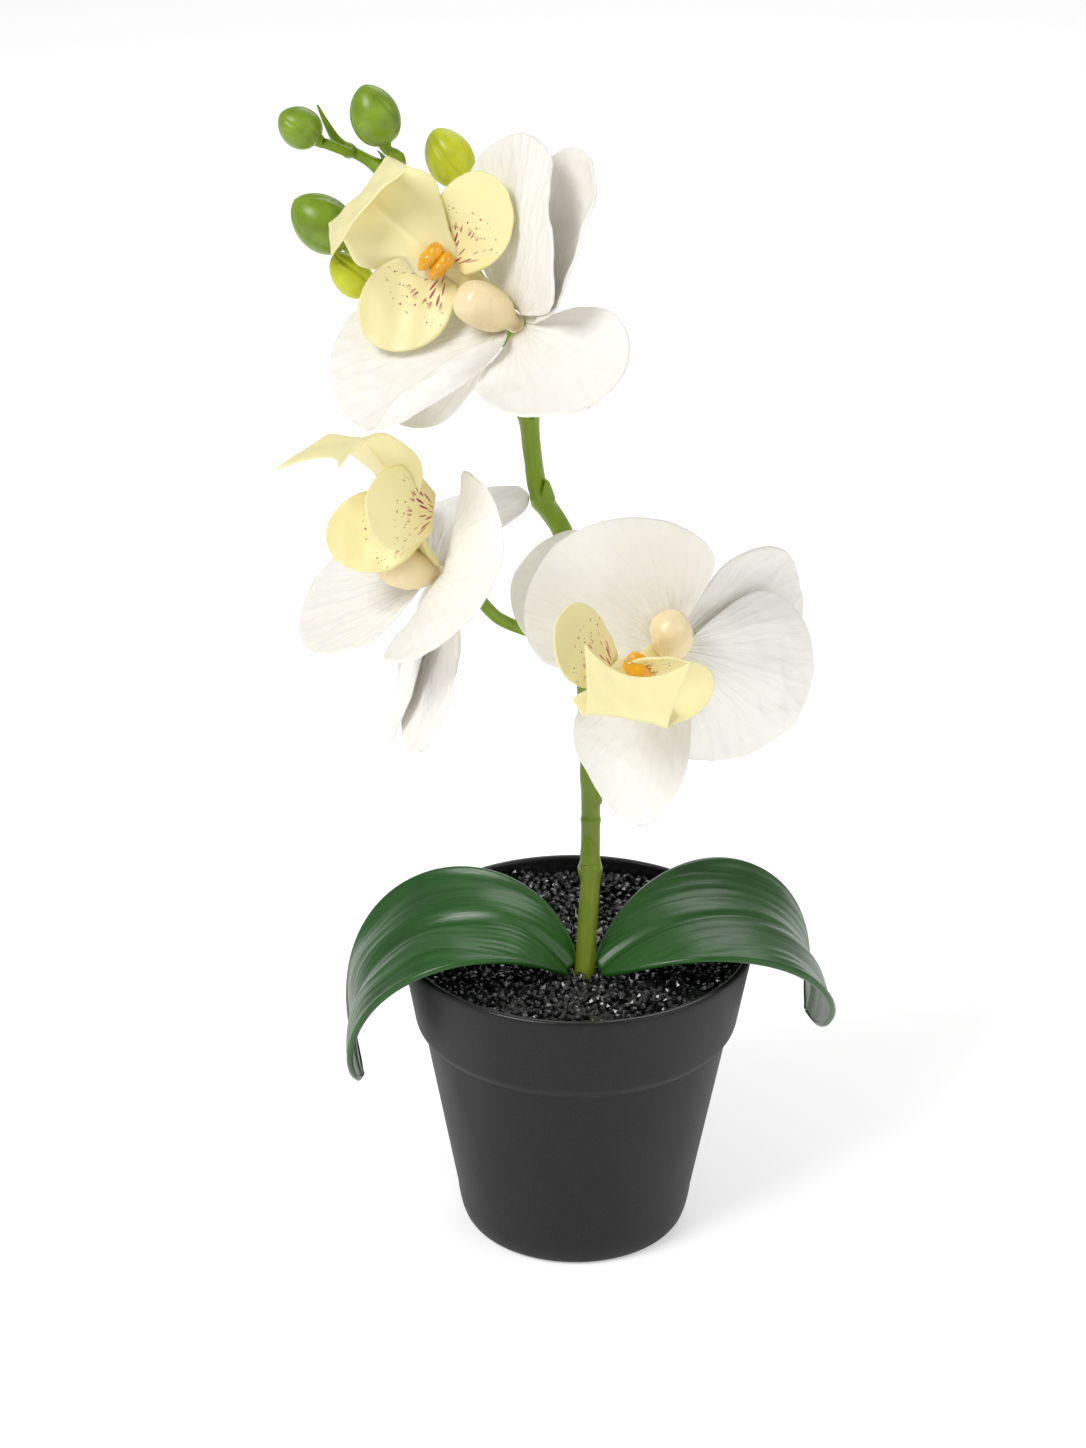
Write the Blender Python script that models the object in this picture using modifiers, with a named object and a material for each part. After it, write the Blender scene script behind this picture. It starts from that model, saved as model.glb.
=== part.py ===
"""A small potted moth orchid: pot, grit, two leaves, a stem, three flowers and five buds.

Metres, +Z up. The origin is under the middle of the pot, on the surface that it stands on.
Sizes below are in millimetres and degrees, and MM turns them into metres. Everything that grows
is placed from the plant's foot: the point where the stem leaves the grit.
"""
import bpy
import bmesh
from math import cos, pi, radians, sin
from mathutils import Matrix, Vector

MM = 0.001
GAP = 0.3                    # air between neighbouring pieces

# ---- pot -----------------------------------------------------------------------------------
POT_HEIGHT = 80.7
POT_WALL = 1.6
POT_FLOOR = 2.4
RIM_RADIUS = 45.0
BAND_RADIUS = RIM_RADIUS - 3.6   # lower end of the rim band
BAND_HEIGHT = 22.0           # from the rim down to where the band starts to turn in
STEP_HEIGHT = 24.5           # from the rim down to the step under the band
BODY_RADIUS = BAND_RADIUS - 2.3  # just under the step
FOOT_RADIUS = RIM_RADIUS - 14.5
FOOT_HEIGHT = 8.4            # where the wall starts to turn in to the flat bottom
BASE_RADIUS = FOOT_RADIUS - 2.7  # flat bottom
BAND_EDGE = (0.8, 1.3)       # the band's rounded lower edge: inwards, and down
FOOT_EDGE = (0.7, 5.0)       # the foot's rounded edge: inwards, and down
RIM_ROUNDING = 0.4
INNER_CORNER = 1.2           # how far the floor stops short of the inner wall
POT_STEPS = 40

# ---- grit ----------------------------------------------------------------------------------
GRIT_BELOW_RIM = 2.6
SOCKET_DEPTH = 18.0
GRIT_CLEARANCE = GAP + 0.2   # from the pot's wall, where the facets of both come closest
SOCKET_SIDES = 20
FACET_SLACK = 0.1            # more air where a flat facet faces a corner

# ---- stem ----------------------------------------------------------------------------------
STEM_RADIUS = 2.5
STEM_SIDES_RESOLUTION = 2
PLANT_X, PLANT_Y = 2.0, -13.0    # where the stem leaves the grit

# route of the stem from the grit up to the growing tip: x, y, height above the grit, radius
STEM_ROUTE = [
    (0.0, 0.0, 0.0, 1.00), (0.2, 2.0, 5.0, 1.00), (1.1, 9.0, 20.0, 1.02), (1.2, 11.0, 24.0, 1.30),
    (1.1, 12.5, 28.0, 1.00), (1.1, 15.0, 42.0, 1.00), (0.7, 17.0, 56.0, 1.00), (-1.3, 18.0, 82.0, 1.00),
    (-3.7, 17.0, 99.0, 1.00), (-6.2, 16.0, 111.0, 1.00), (-11.4, 14.0, 121.0, 1.12),
    (-13.2, 13.5, 127.0, 0.95), (-14.6, 13.0, 140.0, 0.95), (-15.2, 13.0, 145.0, 1.20),
    (-17.5, 15.0, 156.0, 0.90), (-24.0, 16.0, 171.0, 0.85), (-35.5, 13.0, 187.5, 0.80),
    (-43.5, 9.0, 198.5, 0.80), (-47.6, 7.5, 204.0, 0.85), (-52.0, 8.0, 207.0, 0.55),
    (-58.2, 8.5, 210.5, 0.50), (-61.2, 9.0, 215.0, 0.30), (-63.3, 9.0, 219.5, 0.18),
]
STEM_POINT_SPACING = 5.0
BRANCH_SLACK = 0.15          # a branch's flat end stands this much further off the round stem

# ---- leaves: name, clock, pitch, bend, sway, roll, twist, curl left and right, length, width ----
LEAF_THICKNESS = 1.5
LEAF_GROWTH = RIM_RADIUS / 45.0  # the leaves arch over the rim: the lengths and widths suit a 45 mm rim
LEAF_FROM_AXIS = STEM_RADIUS + 1.1
LEAVES = {
    "leaf_left": dict(at=(-LEAF_FROM_AXIS, -1.6, 1.2), clock=-81, pitch=60, bend=-170, sway=-4,
                      roll=12, twist=-4, curl_left=-6, curl_right=15, length=93, width=39.5,
                      bend_power=0.85),
    "leaf_right": dict(at=(LEAF_FROM_AXIS, -1.6, 1.2), clock=76, pitch=40, bend=-140, sway=-21,
                       roll=-6, twist=7, curl_left=27, curl_right=-10, length=91, width=42,
                       bend_power=1.1),
}
LEAF_PATTERN = dict(base=0.12, widest=0.53, shoulder=0.75, tip=0.55, fan=0.0)

# ---- flat patterns of the flowers' parts ----------------------------------------------------
PETAL_THICKNESS = 0.6
PETAL = dict(length=38.0, width=49.5, base=0.10, widest=0.55, shoulder=0.85, tip=0.50, fan=3.0)
SEPAL = dict(length=41.0, width=33.5, base=0.12, widest=0.56, shoulder=0.90, tip=0.50, fan=0.0)
SIDE_LOBE = dict(length=21.0, width=19.0, base=0.45, widest=0.55, shoulder=0.90, tip=0.50, fan=1.5)

FOOT_OF_COLUMN_RADIUS = 2.2
HUB_RADIUS = FOOT_OF_COLUMN_RADIUS + GAP + 0.1     # where petals and sepals start
PETAL_LAYER = 1.2            # petals start this far in front of the flower's plane, sepals behind
LIP_FROM_AXIS = HUB_RADIUS + 0.2
LIP_LAYER = PETAL_LAYER + 1.6    # the lip starts in front of the petals

FLOWERS = {
    "lower_flower": dict(
        at=(19.6, -11.0, 93.0), azimuth=3, elevation=27, scale=1.0,
        petals=dict(
            petal_left=(-44, 29, -1, 1, 14, 10, 5, 24),
            petal_right=(115, -18, -25, 10, -4, -7, -30, -49)),
        sepals=dict(
            dorsal_sepal=(70, -14, -37, -3, -10, -9, 16, -12),
            lower_sepal=(-155, 14, -62, -9, -35, -4, 5, 20),
            left_sepal=(-54, -3, -29, -5, -2, -7, -10, -18))),
    "left_flower": dict(
        at=(-36.2, -11.0, 112.2), azimuth=-58, elevation=25, scale=1.0,
        petals=dict(
            petal_near=(76, 34, -34, 7, 14, 0, 39, 22),
            petal_far=(-113, 9, -2, -5, -12, -13, 22, -15)),
        sepals=dict(
            sepal_near=(146, 2, 8, 3, -15, -3, 3, 6),
            sepal_far=(-171, 4, -32, 2, -21, -13, -15, -23),
            dorsal_sepal=(-56, -24, -30, -2, -23, -1, 18, -27))),
    "upper_flower": dict(
        at=(-18.6, -19.0, 177.7), azimuth=-42, elevation=35, scale=1.06,
        petals=dict(
            petal_upper=(9, 40, -16, -4, 8, 15, 7, 23),
            petal_lower=(-151, 31, -10, -4, -10, 10, 56, 1)),
        sepals=dict(
            dorsal_sepal=(111, 27, -15, -1, 13, 20, 17, 18),
            upper_sepal=(33, 27, 6, -3, 5, 5, 11, 36),
            lower_sepal=(-115, -6, -4, -2, 3, 0, -20, -7))),
}

# ---- lips: a claw, a panel with two corners, and an end that rolls back to two horns ----------
LIP_THICKNESS = 0.8
CLAW_LENGTH = 17.0
PANEL_LENGTH = 20.0
END_LENGTH = 16.0
CLAW_HALF_WIDTH, CLAW_END_HALF_WIDTH = 3.2, 5.0
CORNER_HALF_WIDTH = 12.0
CORNER_PLACE = 0.6           # share of the panel's length
WAIST_HALF_WIDTH = 9.5
HORN_HALF_WIDTH = 12.0
NOTCH_DEPTH = 5.5
FOLD_LENGTH = 5.0
LIP_TURN_LENGTH = 10.0       # stretch round the claw's end where the lip turns to the panel's own clock
LIP_KNOT_RADIUS = 2.0        # thick place at the claw's end, which the callus stands on
LOBE_ROOT_RADIUS = 1.2       # round root that each side lobe grows from
# A lobe's row is where it leaves the claw, from the plant's foot, and then its pose.
LIPS = {
    "lower_flower": dict(clock=-120, panel_clock=-170, pitch=50, claw_bend=5, panel_bend=5,
                         fold=112, end_bend=10,
                         lobes=dict(left=((4.4, -29.3, 96.2), (-54, 22, 31, 5, -31, 7, 5, 7)),
                                    right=((7.7, -30.2, 94.0), (100, 4, -5, -12, -33, 0, 40, 30)))),
    "left_flower": dict(clock=-4, panel_clock=-19, pitch=56, claw_bend=-18, panel_bend=34,
                        fold=60, end_bend=15,
                        lobes=dict(far=((-41.1, -15.1, 127.0), (-139, 35, 20, 1, 25, 0, 16, 25)),
                                   near=((-37.2, -17.2, 130.2), (99, 76, 9, 0, -28, 0, 10, 10)))),
    "upper_flower": dict(clock=-68, panel_clock=-66, pitch=40, claw_bend=8, panel_bend=-20,
                         fold=130, end_bend=10,
                         lobes=dict(left=((-34.3, -16.4, 188.1), (-157, 15, -6, -4, 30, 3, 12, 22)),
                                    right=((-31.9, -16.0, 190.6), (19, 8, 20, 4, -12, -4, 14, 5)))),
}

# ---- columns: forward, and sideways towards a clock angle -----------------------------------
COLUMN_PROFILE = [(-1.8, FOOT_OF_COLUMN_RADIUS), (1.5, FOOT_OF_COLUMN_RADIUS), (3.5, 2.4), (6.0, 3.2),
                  (8.5, 4.0), (10.5, 4.1), (12.4, 3.3), (13.4, 1.8)]     # forward, radius
COLUMNS = {"lower_flower": dict(clock=-14, lean=30), "left_flower": dict(clock=-110, lean=20),
           "upper_flower": dict(clock=-90, lean=12)}
CALLUS_RADII = (1.9, 3.6, 2.4)
CALLUS_APART = 1.5           # each ridge's middle from the callus's middle
CALLUS_SUNK = 0.8            # how deep the ridges are set into the lip

# ---- flower stalks: from the stem at this height above the grit, by way of these points -------
STALK_RADIUS = 1.5
RECEPTACLE_RADIUS = 2.2
RECEPTACLE_BEHIND = 2.4      # from the flower's plane back to the stalk's end
RECEPTACLE_LENGTHS = (6.0, 2.5)  # the stalk runs straight from here, and swells from here
STALKS = {
    "lower_flower": dict(stem_height=64.0, by=[(13.0, 8.0, 79.9)]),
    "left_flower": dict(stem_height=84.0, by=[(-10.5, 8.5, 87.9), (-22.0, 1.0, 95.9)]),
    "upper_flower": dict(stem_height=146.0, by=[(-14.0, 5.0, 157.9)]),
}

# ---- buds: where, radii, which way the tip points, and their stalk's route back to the stem ---
BUD_STALK_RADIUS = 1.2
BUD_TAPER = 0.12             # how much slimmer a bud is at its tip
STALK_REACH = 0.85           # a bud's stalk ends this share of the long radius from its middle
BUDS = {
    "bud_top_left": dict(at=(-67.2, 3.0, 216.1), radii=(4.7, 4.7, 5.3), tip=(-0.75, -0.2, 0.6),
                         stem_height=209.0, by=[(-61.0, 4.0, 211.9)]),
    "bud_top": dict(at=(-50.2, 5.0, 218.5), radii=(5.6, 5.6, 7.2), tip=(-0.35, 0.0, 1.0),
                    stem_height=203.0, by=[(-44.6, 4.5, 208.9)]),
    "bud_side": dict(at=(-62.8, 5.0, 193.1), radii=(6.4, 6.4, 8.0), tip=(-0.75, 0.0, 0.65),
                     stem_height=192.0, by=[(-51.0, 11.0, 188.9)]),
    "bud_yellow_right": dict(at=(-33.5, 13.0, 206.5), radii=(5.4, 5.4, 7.0), tip=(-0.5, 0.2, 0.9),
                             stem_height=180.0, by=[(-29.0, 17.0, 193.9)]),
    "bud_yellow_left": dict(at=(-56.5, 9.0, 179.4), radii=(4.4, 4.4, 6.0), tip=(-0.6, 0.0, 0.8),
                            stem_height=170.0, by=[(-49.0, 15.0, 168.9)]),
}

# ---- meshes: squares across and along a sheet, and steps along its middle ---------------------
LEAF_GRID, PETAL_GRID, LIP_GRID, LOBE_GRID = (6, 16), (6, 7), (6, 17), (5, 6)
MIDLINE_STEPS = 60
EGG_SIDES, EGG_RINGS = 14, 9
RIDGE_SIDES, RIDGE_RINGS = 10, 7

COLOURS = {
    "pot_plastic": ((0.022, 0.022, 0.023), 0.55), "grit": ((0.006, 0.006, 0.007), 0.25),
    "leaf": ((0.022, 0.095, 0.018), 0.35), "stem": ((0.14, 0.25, 0.015), 0.40),
    "petal": ((0.90, 0.86, 0.79), 0.50), "lip": ((0.82, 0.75, 0.36), 0.40),
    "column": ((0.88, 0.70, 0.42), 0.30),
    "bud": ((0.12, 0.26, 0.02), 0.35), "bud_yellow": ((0.52, 0.56, 0.03), 0.40),
}


# ---- scene and materials --------------------------------------------------------------------
def clear_scene():
    for old in list(bpy.data.objects):
        bpy.data.objects.remove(old, do_unlink=True)


def new_collection(name):
    group = bpy.data.collections.new(name)
    bpy.context.scene.collection.children.link(group)
    return group


def material(name):
    made = bpy.data.materials.get(name)
    if made:
        return made
    colour, roughness = COLOURS[name]
    made = bpy.data.materials.new(name)
    made.use_nodes = True
    shader = made.node_tree.nodes["Principled BSDF"]
    shader.inputs["Base Color"].default_value = (*colour, 1.0)
    shader.inputs["Roughness"].default_value = roughness
    made.diffuse_color = (*colour, 1.0)
    return made


def add_object(name, data, material_name, group):
    made = bpy.data.objects.new(name, data)
    group.objects.link(made)
    if material_name:
        data.materials.append(material(material_name))
    return made


def as_plain_mesh(source, name, material_name, group):
    """The evaluated source as a new mesh object; the source is removed."""
    bpy.context.view_layer.update()
    evaluated = source.evaluated_get(bpy.context.evaluated_depsgraph_get())
    mesh = bpy.data.meshes.new_from_object(evaluated)
    mesh.transform(source.matrix_world)
    bpy.data.objects.remove(source, do_unlink=True)
    shape = bmesh.new()
    shape.from_mesh(mesh)
    bmesh.ops.remove_doubles(shape, verts=shape.verts, dist=0.00001)
    bmesh.ops.recalc_face_normals(shape, faces=shape.faces)
    shape.to_mesh(mesh)
    shape.free()
    mesh.materials.clear()
    mesh.name = name
    mesh.shade_smooth()
    return add_object(name, mesh, material_name, group)


def boolean(target, operand, operation):
    cut = target.modifiers.new(operation.lower(), 'BOOLEAN')
    cut.operation = operation
    cut.solver = 'EXACT'
    cut.object = operand


def fuse(pieces, name, material_name, group):
    """One body from pieces that run into each other."""
    whole = pieces[0]
    for piece in pieces[1:]:
        boolean(whole, piece, 'UNION')
        bpy.context.view_layer.update()
        joined = as_plain_mesh(whole, name, material_name, group)
        bpy.data.objects.remove(piece, do_unlink=True)
        whole = joined
    return whole


# ---- turned pieces --------------------------------------------------------------------------
def pot_outline(inset):
    """Radius and height from the rim down to the foot, moved inwards by inset."""
    band_end = POT_HEIGHT - BAND_HEIGHT
    outline = [(RIM_RADIUS, POT_HEIGHT), (BAND_RADIUS, band_end),
               (BAND_RADIUS - BAND_EDGE[0], band_end - BAND_EDGE[1]), (BODY_RADIUS, POT_HEIGHT - STEP_HEIGHT),
               (FOOT_RADIUS, FOOT_HEIGHT), (FOOT_RADIUS - FOOT_EDGE[0], FOOT_HEIGHT - FOOT_EDGE[1])]
    return [(r - inset, z) for r, z in outline]


def turned(name, profile, material_name, group):
    """Screws a profile of radius and height, listed down its outer side, round Z."""
    mesh = bpy.data.meshes.new(name)
    shape = bmesh.new()
    points = [shape.verts.new((r * MM, 0.0, z * MM)) for r, z in profile]
    for start, end in zip(points[:-1], points[1:]):
        shape.edges.new((start, end))
    shape.to_mesh(mesh)
    shape.free()
    made = add_object(name, mesh, material_name, group)
    screw = made.modifiers.new("turn", 'SCREW')
    screw.steps = POT_STEPS
    screw.render_steps = POT_STEPS
    screw.use_merge_vertices = True
    screw.merge_threshold = 0.00001
    screw.use_smooth_shade = True
    return made


def make_pot(group):
    outside = pot_outline(0.0)
    inside = pot_outline(POT_WALL)[:-1]
    inside[0] = (inside[0][0], POT_HEIGHT - RIM_ROUNDING)
    rim = [(inside[0][0] + RIM_ROUNDING, POT_HEIGHT), (RIM_RADIUS - RIM_ROUNDING, POT_HEIGHT),
           (RIM_RADIUS, POT_HEIGHT - RIM_ROUNDING)]
    floor = [(0.0, POT_FLOOR), (inside[-1][0] - INNER_CORNER, POT_FLOOR)]
    profile = floor + inside[::-1] + rim + outside[1:] + [(BASE_RADIUS, 0.0), (0.0, 0.0)]
    return turned("pot", profile, "pot_plastic", group)


def grit_surface():
    return POT_HEIGHT - GRIT_BELOW_RIM


def from_foot(offset):
    """A point given from where the stem leaves the grit."""
    return Vector((PLANT_X, PLANT_Y, grit_surface())) + Vector(offset)


def make_grit(group, cutters):
    """Fills the pot up to just under its rim, with a socket that the stem stands in."""
    inset = POT_WALL + GRIT_CLEARANCE
    side = pot_outline(inset)[1:-1]
    top = grit_surface()
    top_radius = RIM_RADIUS - inset - (RIM_RADIUS - BAND_RADIUS) * GRIT_BELOW_RIM / BAND_HEIGHT
    floor = POT_FLOOR + GAP + FACET_SLACK
    profile = [(0.0, top), (top_radius, top)] + side + [(side[-1][0] - INNER_CORNER, floor), (0.0, floor)]
    grit = turned("grit", profile, "grit", group)
    grit = as_plain_mesh(grit, "grit", "grit", group)
    bpy.ops.mesh.primitive_cylinder_add(
        vertices=SOCKET_SIDES, radius=(STEM_RADIUS + GAP + FACET_SLACK) * MM, depth=2 * SOCKET_DEPTH * MM,
        location=(PLANT_X * MM, PLANT_Y * MM, top * MM))
    cutter = bpy.context.object
    cutter.name = "socket_cutter"
    cutter.hide_render = True
    cutter.display_type = 'WIRE'
    for holder in list(cutter.users_collection):
        holder.objects.unlink(cutter)
    cutters.objects.link(cutter)
    boolean(grit, cutter, 'DIFFERENCE')
    return grit


# ---- tubes ----------------------------------------------------------------------------------
def catmull_rom(points, spacing):
    """Points about one spacing apart on a smooth curve through the given ones."""
    rows = [Vector(p) for p in points]
    padded = [rows[0] * 2 - rows[1]] + rows + [rows[-1] * 2 - rows[-2]]
    smooth = []
    for before, start, end, after in zip(padded, padded[1:], padded[2:], padded[3:]):
        distance = (Vector(end[:3]) - Vector(start[:3])).length
        steps = max(1, round(distance / spacing))
        for step in range(steps):
            t = step / steps
            smooth.append(0.5 * (2 * start + (end - before) * t
                                 + (2 * before - 5 * start + 4 * end - after) * t * t
                                 + (3 * start - before - 3 * end + after) * t ** 3))
    return smooth + [rows[-1]]


def tube(name, points, material_name, group, resolution=STEM_SIDES_RESOLUTION):
    """A closed tube through points of x, y, z and radius."""
    curve = bpy.data.curves.new(name, 'CURVE')
    curve.dimensions = '3D'
    curve.bevel_depth = MM
    curve.bevel_resolution = resolution
    curve.use_fill_caps = True
    spline = curve.splines.new('POLY')
    spline.points.add(len(points) - 1)
    for spot, (x, y, z, radius) in zip(spline.points, points):
        spot.co = (x * MM, y * MM, z * MM, 1.0)
        spot.radius = radius
    return as_plain_mesh(add_object(name, curve, None, group), name, material_name, group)


def stem_points():
    """The stem's route in place, with a straight peg down into the grit."""
    route = [Vector((*from_foot((x, y, z)), STEM_RADIUS * r)) for x, y, z, r in STEM_ROUTE]
    peg = Vector((*from_foot((0.0, 0.0, GAP - SOCKET_DEPTH)), STEM_RADIUS))
    return [peg] + catmull_rom(route, STEM_POINT_SPACING)


def stem_at(height):
    """Point and radius of the stem this far above the grit, and the stem's direction there."""
    points = stem_points()[1:]
    level = grit_surface() + height
    for low, high in zip(points[:-1], points[1:]):
        if low.z <= level <= high.z:
            spot = low.lerp(high, (level - low.z) / (high.z - low.z))
            return spot, (high.xyz - low.xyz).normalized()
    return points[-1], (points[-1].xyz - points[-2].xyz).normalized()


def start_on_stem(height, towards, radius):
    """Two points square to the stem's side that start a branch clear of it."""
    spot, along = stem_at(height)
    way = Vector(towards) - spot.xyz
    way = (way - along * way.dot(along)).normalized()
    clear = spot.w + GAP + BRANCH_SLACK
    return [spot.xyz + way * clear, spot.xyz + way * (clear + radius)]


# ---- blades: leaves, petals, sepals and lobes ------------------------------------------------
def half_width(v, pattern):
    """Share of the greatest half width at share v of the length."""
    if v < pattern["widest"]:
        rise = sin(v / pattern["widest"] * pi / 2) ** pattern["shoulder"]
        return pattern["base"] + (1 - pattern["base"]) * rise
    fall = (v - pattern["widest"]) / (1 - pattern["widest"])
    return max(0.0, 1 - fall ** 2) ** pattern["tip"]


def flower_axes(azimuth, elevation):
    """Facing direction, the flower's upward direction, and its right as seen from the front."""
    az, el = radians(azimuth), radians(elevation)
    facing = Vector((sin(az) * cos(el), -cos(az) * cos(el), sin(el)))
    up = (Vector((0, 0, 1)) - facing * facing.z).normalized()
    return facing, up, up.cross(facing)


def clock_axes(axes, clock):
    """Outward and crosswise directions at a clock angle in the flower's plane."""
    facing, up, right = axes
    angle = radians(clock)
    return up * cos(angle) + right * sin(angle), right * cos(angle) - up * sin(angle)


def bent_midline(origin, axes, pose, length):
    """Stations of point, crosswise direction and normal along a blade's bent middle."""
    facing = axes[0]
    outward, across = clock_axes(axes, pose["clock"])
    point = origin.copy()
    stations = []
    last = None
    for step in range(MIDLINE_STEPS + 1):
        t = step / MIDLINE_STEPS
        rise = radians(pose["pitch"] + pose["bend"] * t ** pose.get("bend_power", 1.0))
        swing = radians(pose["sway"] * t)
        along = (outward * cos(rise) + facing * sin(rise)) * cos(swing) + across * sin(swing)
        side = across * cos(swing) - (outward * cos(rise) + facing * sin(rise)) * sin(swing)
        normal = facing * cos(rise) - outward * sin(rise)
        turn = radians(pose["roll"] + pose["twist"] * t)
        if last is not None:
            point = point + (along + last) * (length / MIDLINE_STEPS / 2)
        last = along
        stations.append((point.copy(), side * cos(turn) + normal * sin(turn),
                         normal * cos(turn) - side * sin(turn), along))
    return stations


def arc(share, angle):
    """How far along and up an arc reaches at a share of its length, for its whole angle."""
    if abs(angle) < 0.001:
        return share, 0.0
    return sin(angle * share) / angle, (1 - cos(angle * share)) / angle


def blade_point(u, v, pattern, pose, stations):
    """The point of the blade at u from -1 to 1 across and v from 0 to 1 along."""
    wide = pattern["width"] / 2
    aside = wide * max(half_width(v, pattern), 0.02) * u
    share = v - pattern["fan"] * (aside / wide) ** 2 / pattern["length"]
    place = min(max(share, 0.0), 1.0) * MIDLINE_STEPS
    index = min(int(place), MIDLINE_STEPS - 1)
    here, there = stations[index], stations[index + 1]
    point, side, normal, along = (a.lerp(b, place - index) for a, b in zip(here, there))
    curl = radians(pose["curl_left"] if u < 0 else pose["curl_right"])
    out, lift = arc(abs(aside) / wide, curl)
    back = min(share, 0.0) * pattern["length"]
    return point + along * back + side * (out * wide * (1 if u > 0 else -1)) + normal * (lift * wide)


def surface(name, place, grid, thickness, material_name, group):
    """A grid mapped by a function of u from -1 to 1 and v from 0 to 1, made a solid sheet."""
    mesh = bpy.data.meshes.new(name)
    shape = bmesh.new()
    bmesh.ops.create_grid(shape, x_segments=grid[0], y_segments=grid[1], size=1.0)
    for vertex in shape.verts:
        vertex.co = place(vertex.co.x, (vertex.co.y + 1) / 2) * MM
    shape.to_mesh(mesh)
    shape.free()
    mesh.shade_smooth()
    made = add_object(name, mesh, material_name, group)
    thicken = made.modifiers.new("thickness", 'SOLIDIFY')
    thicken.thickness = thickness * MM
    thicken.offset = 0.0
    return made


POSE_KEYS = ("clock", "pitch", "bend", "sway", "roll", "twist", "curl_left", "curl_right")


def scaled(pattern, scale):
    return {key: value * scale if key in ("length", "width", "fan") else value
            for key, value in pattern.items()}


def make_blade(name, pattern, pose, origin, axes, thickness, material_name, group, grid=PETAL_GRID):
    stations = bent_midline(origin, axes, pose, pattern["length"])

    def place(u, v):
        return blade_point(u, v, pattern, pose, stations)

    return surface(name, place, grid, thickness, material_name, group)


def make_leaves(group):
    axes = (Vector((0, 0, 1)), Vector((0, 1, 0)), Vector((1, 0, 0)))
    for name, pose in LEAVES.items():
        pattern = dict(LEAF_PATTERN, length=pose["length"] * LEAF_GROWTH, width=pose["width"] * LEAF_GROWTH)
        make_blade(name, pattern, pose, from_foot(pose["at"]), axes, LEAF_THICKNESS, "leaf", group, LEAF_GRID)


# ---- flowers --------------------------------------------------------------------------------
def make_tepals(flower, spec, axes, group):
    """Petals and sepals round the foot of the column."""
    centre = from_foot(spec["at"])
    for kind, pattern, layer in (("petals", PETAL, PETAL_LAYER), ("sepals", SEPAL, -PETAL_LAYER)):
        for name, row in spec[kind].items():
            pose = dict(zip(POSE_KEYS, row))
            outward, _ = clock_axes(axes, pose["clock"])
            origin = centre + outward * HUB_RADIUS + axes[0] * layer
            make_blade(f"{flower}_{name}", scaled(pattern, spec["scale"]), pose, origin, axes,
                       PETAL_THICKNESS, "petal", group)


def lip_half_width(s, scale):
    """Half width at the distance s from the lip's base, for its scaled lengths."""
    stops = [(0, CLAW_HALF_WIDTH), (CLAW_LENGTH, CLAW_END_HALF_WIDTH),
             (CLAW_LENGTH + PANEL_LENGTH * CORNER_PLACE, CORNER_HALF_WIDTH),
             (CLAW_LENGTH + PANEL_LENGTH, WAIST_HALF_WIDTH),
             (CLAW_LENGTH + PANEL_LENGTH + END_LENGTH, HORN_HALF_WIDTH)]
    for (start, narrow), (end, wide) in zip(stops[:-1], stops[1:]):
        if s <= end * scale + 1e-6:
            share = (s / scale - start) / (end - start)
            return (narrow + (wide - narrow) * share) * scale
    return HORN_HALF_WIDTH * scale


def lip_stations(origin, axes, lip, scale):
    """Stations along the lip's middle: claw, panel, fold and rolled end."""
    lengths = [part * scale for part in (CLAW_LENGTH, PANEL_LENGTH, END_LENGTH)]
    total, fold_at = sum(lengths), lengths[0] + lengths[1]
    step = total / MIDLINE_STEPS
    rise = radians(lip["pitch"])
    point = origin.copy()
    stations = []
    for index in range(MIDLINE_STEPS + 1):
        s = index * step
        turned_by = min(max((s / scale - CLAW_LENGTH) / LIP_TURN_LENGTH + 0.5, 0.0), 1.0)
        clock = lip["clock"] + (lip["panel_clock"] - lip["clock"]) * turned_by ** 2 * (3 - 2 * turned_by)
        outward, across = clock_axes(axes, clock)
        along = outward * cos(rise) + axes[0] * sin(rise)
        stations.append((point.copy(), across, axes[0] * cos(rise) - outward * sin(rise), along))
        rate = lip["claw_bend"] / lengths[0] if s < lengths[0] else lip["panel_bend"] / lengths[1]
        if s > fold_at:
            rate = lip["end_bend"] / lengths[2]
        if abs(s - fold_at) < FOLD_LENGTH * scale / 2:
            rate += lip["fold"] / (FOLD_LENGTH * scale)
        rise += radians(rate) * step
        point = point + along * step
    return stations, total


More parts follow.
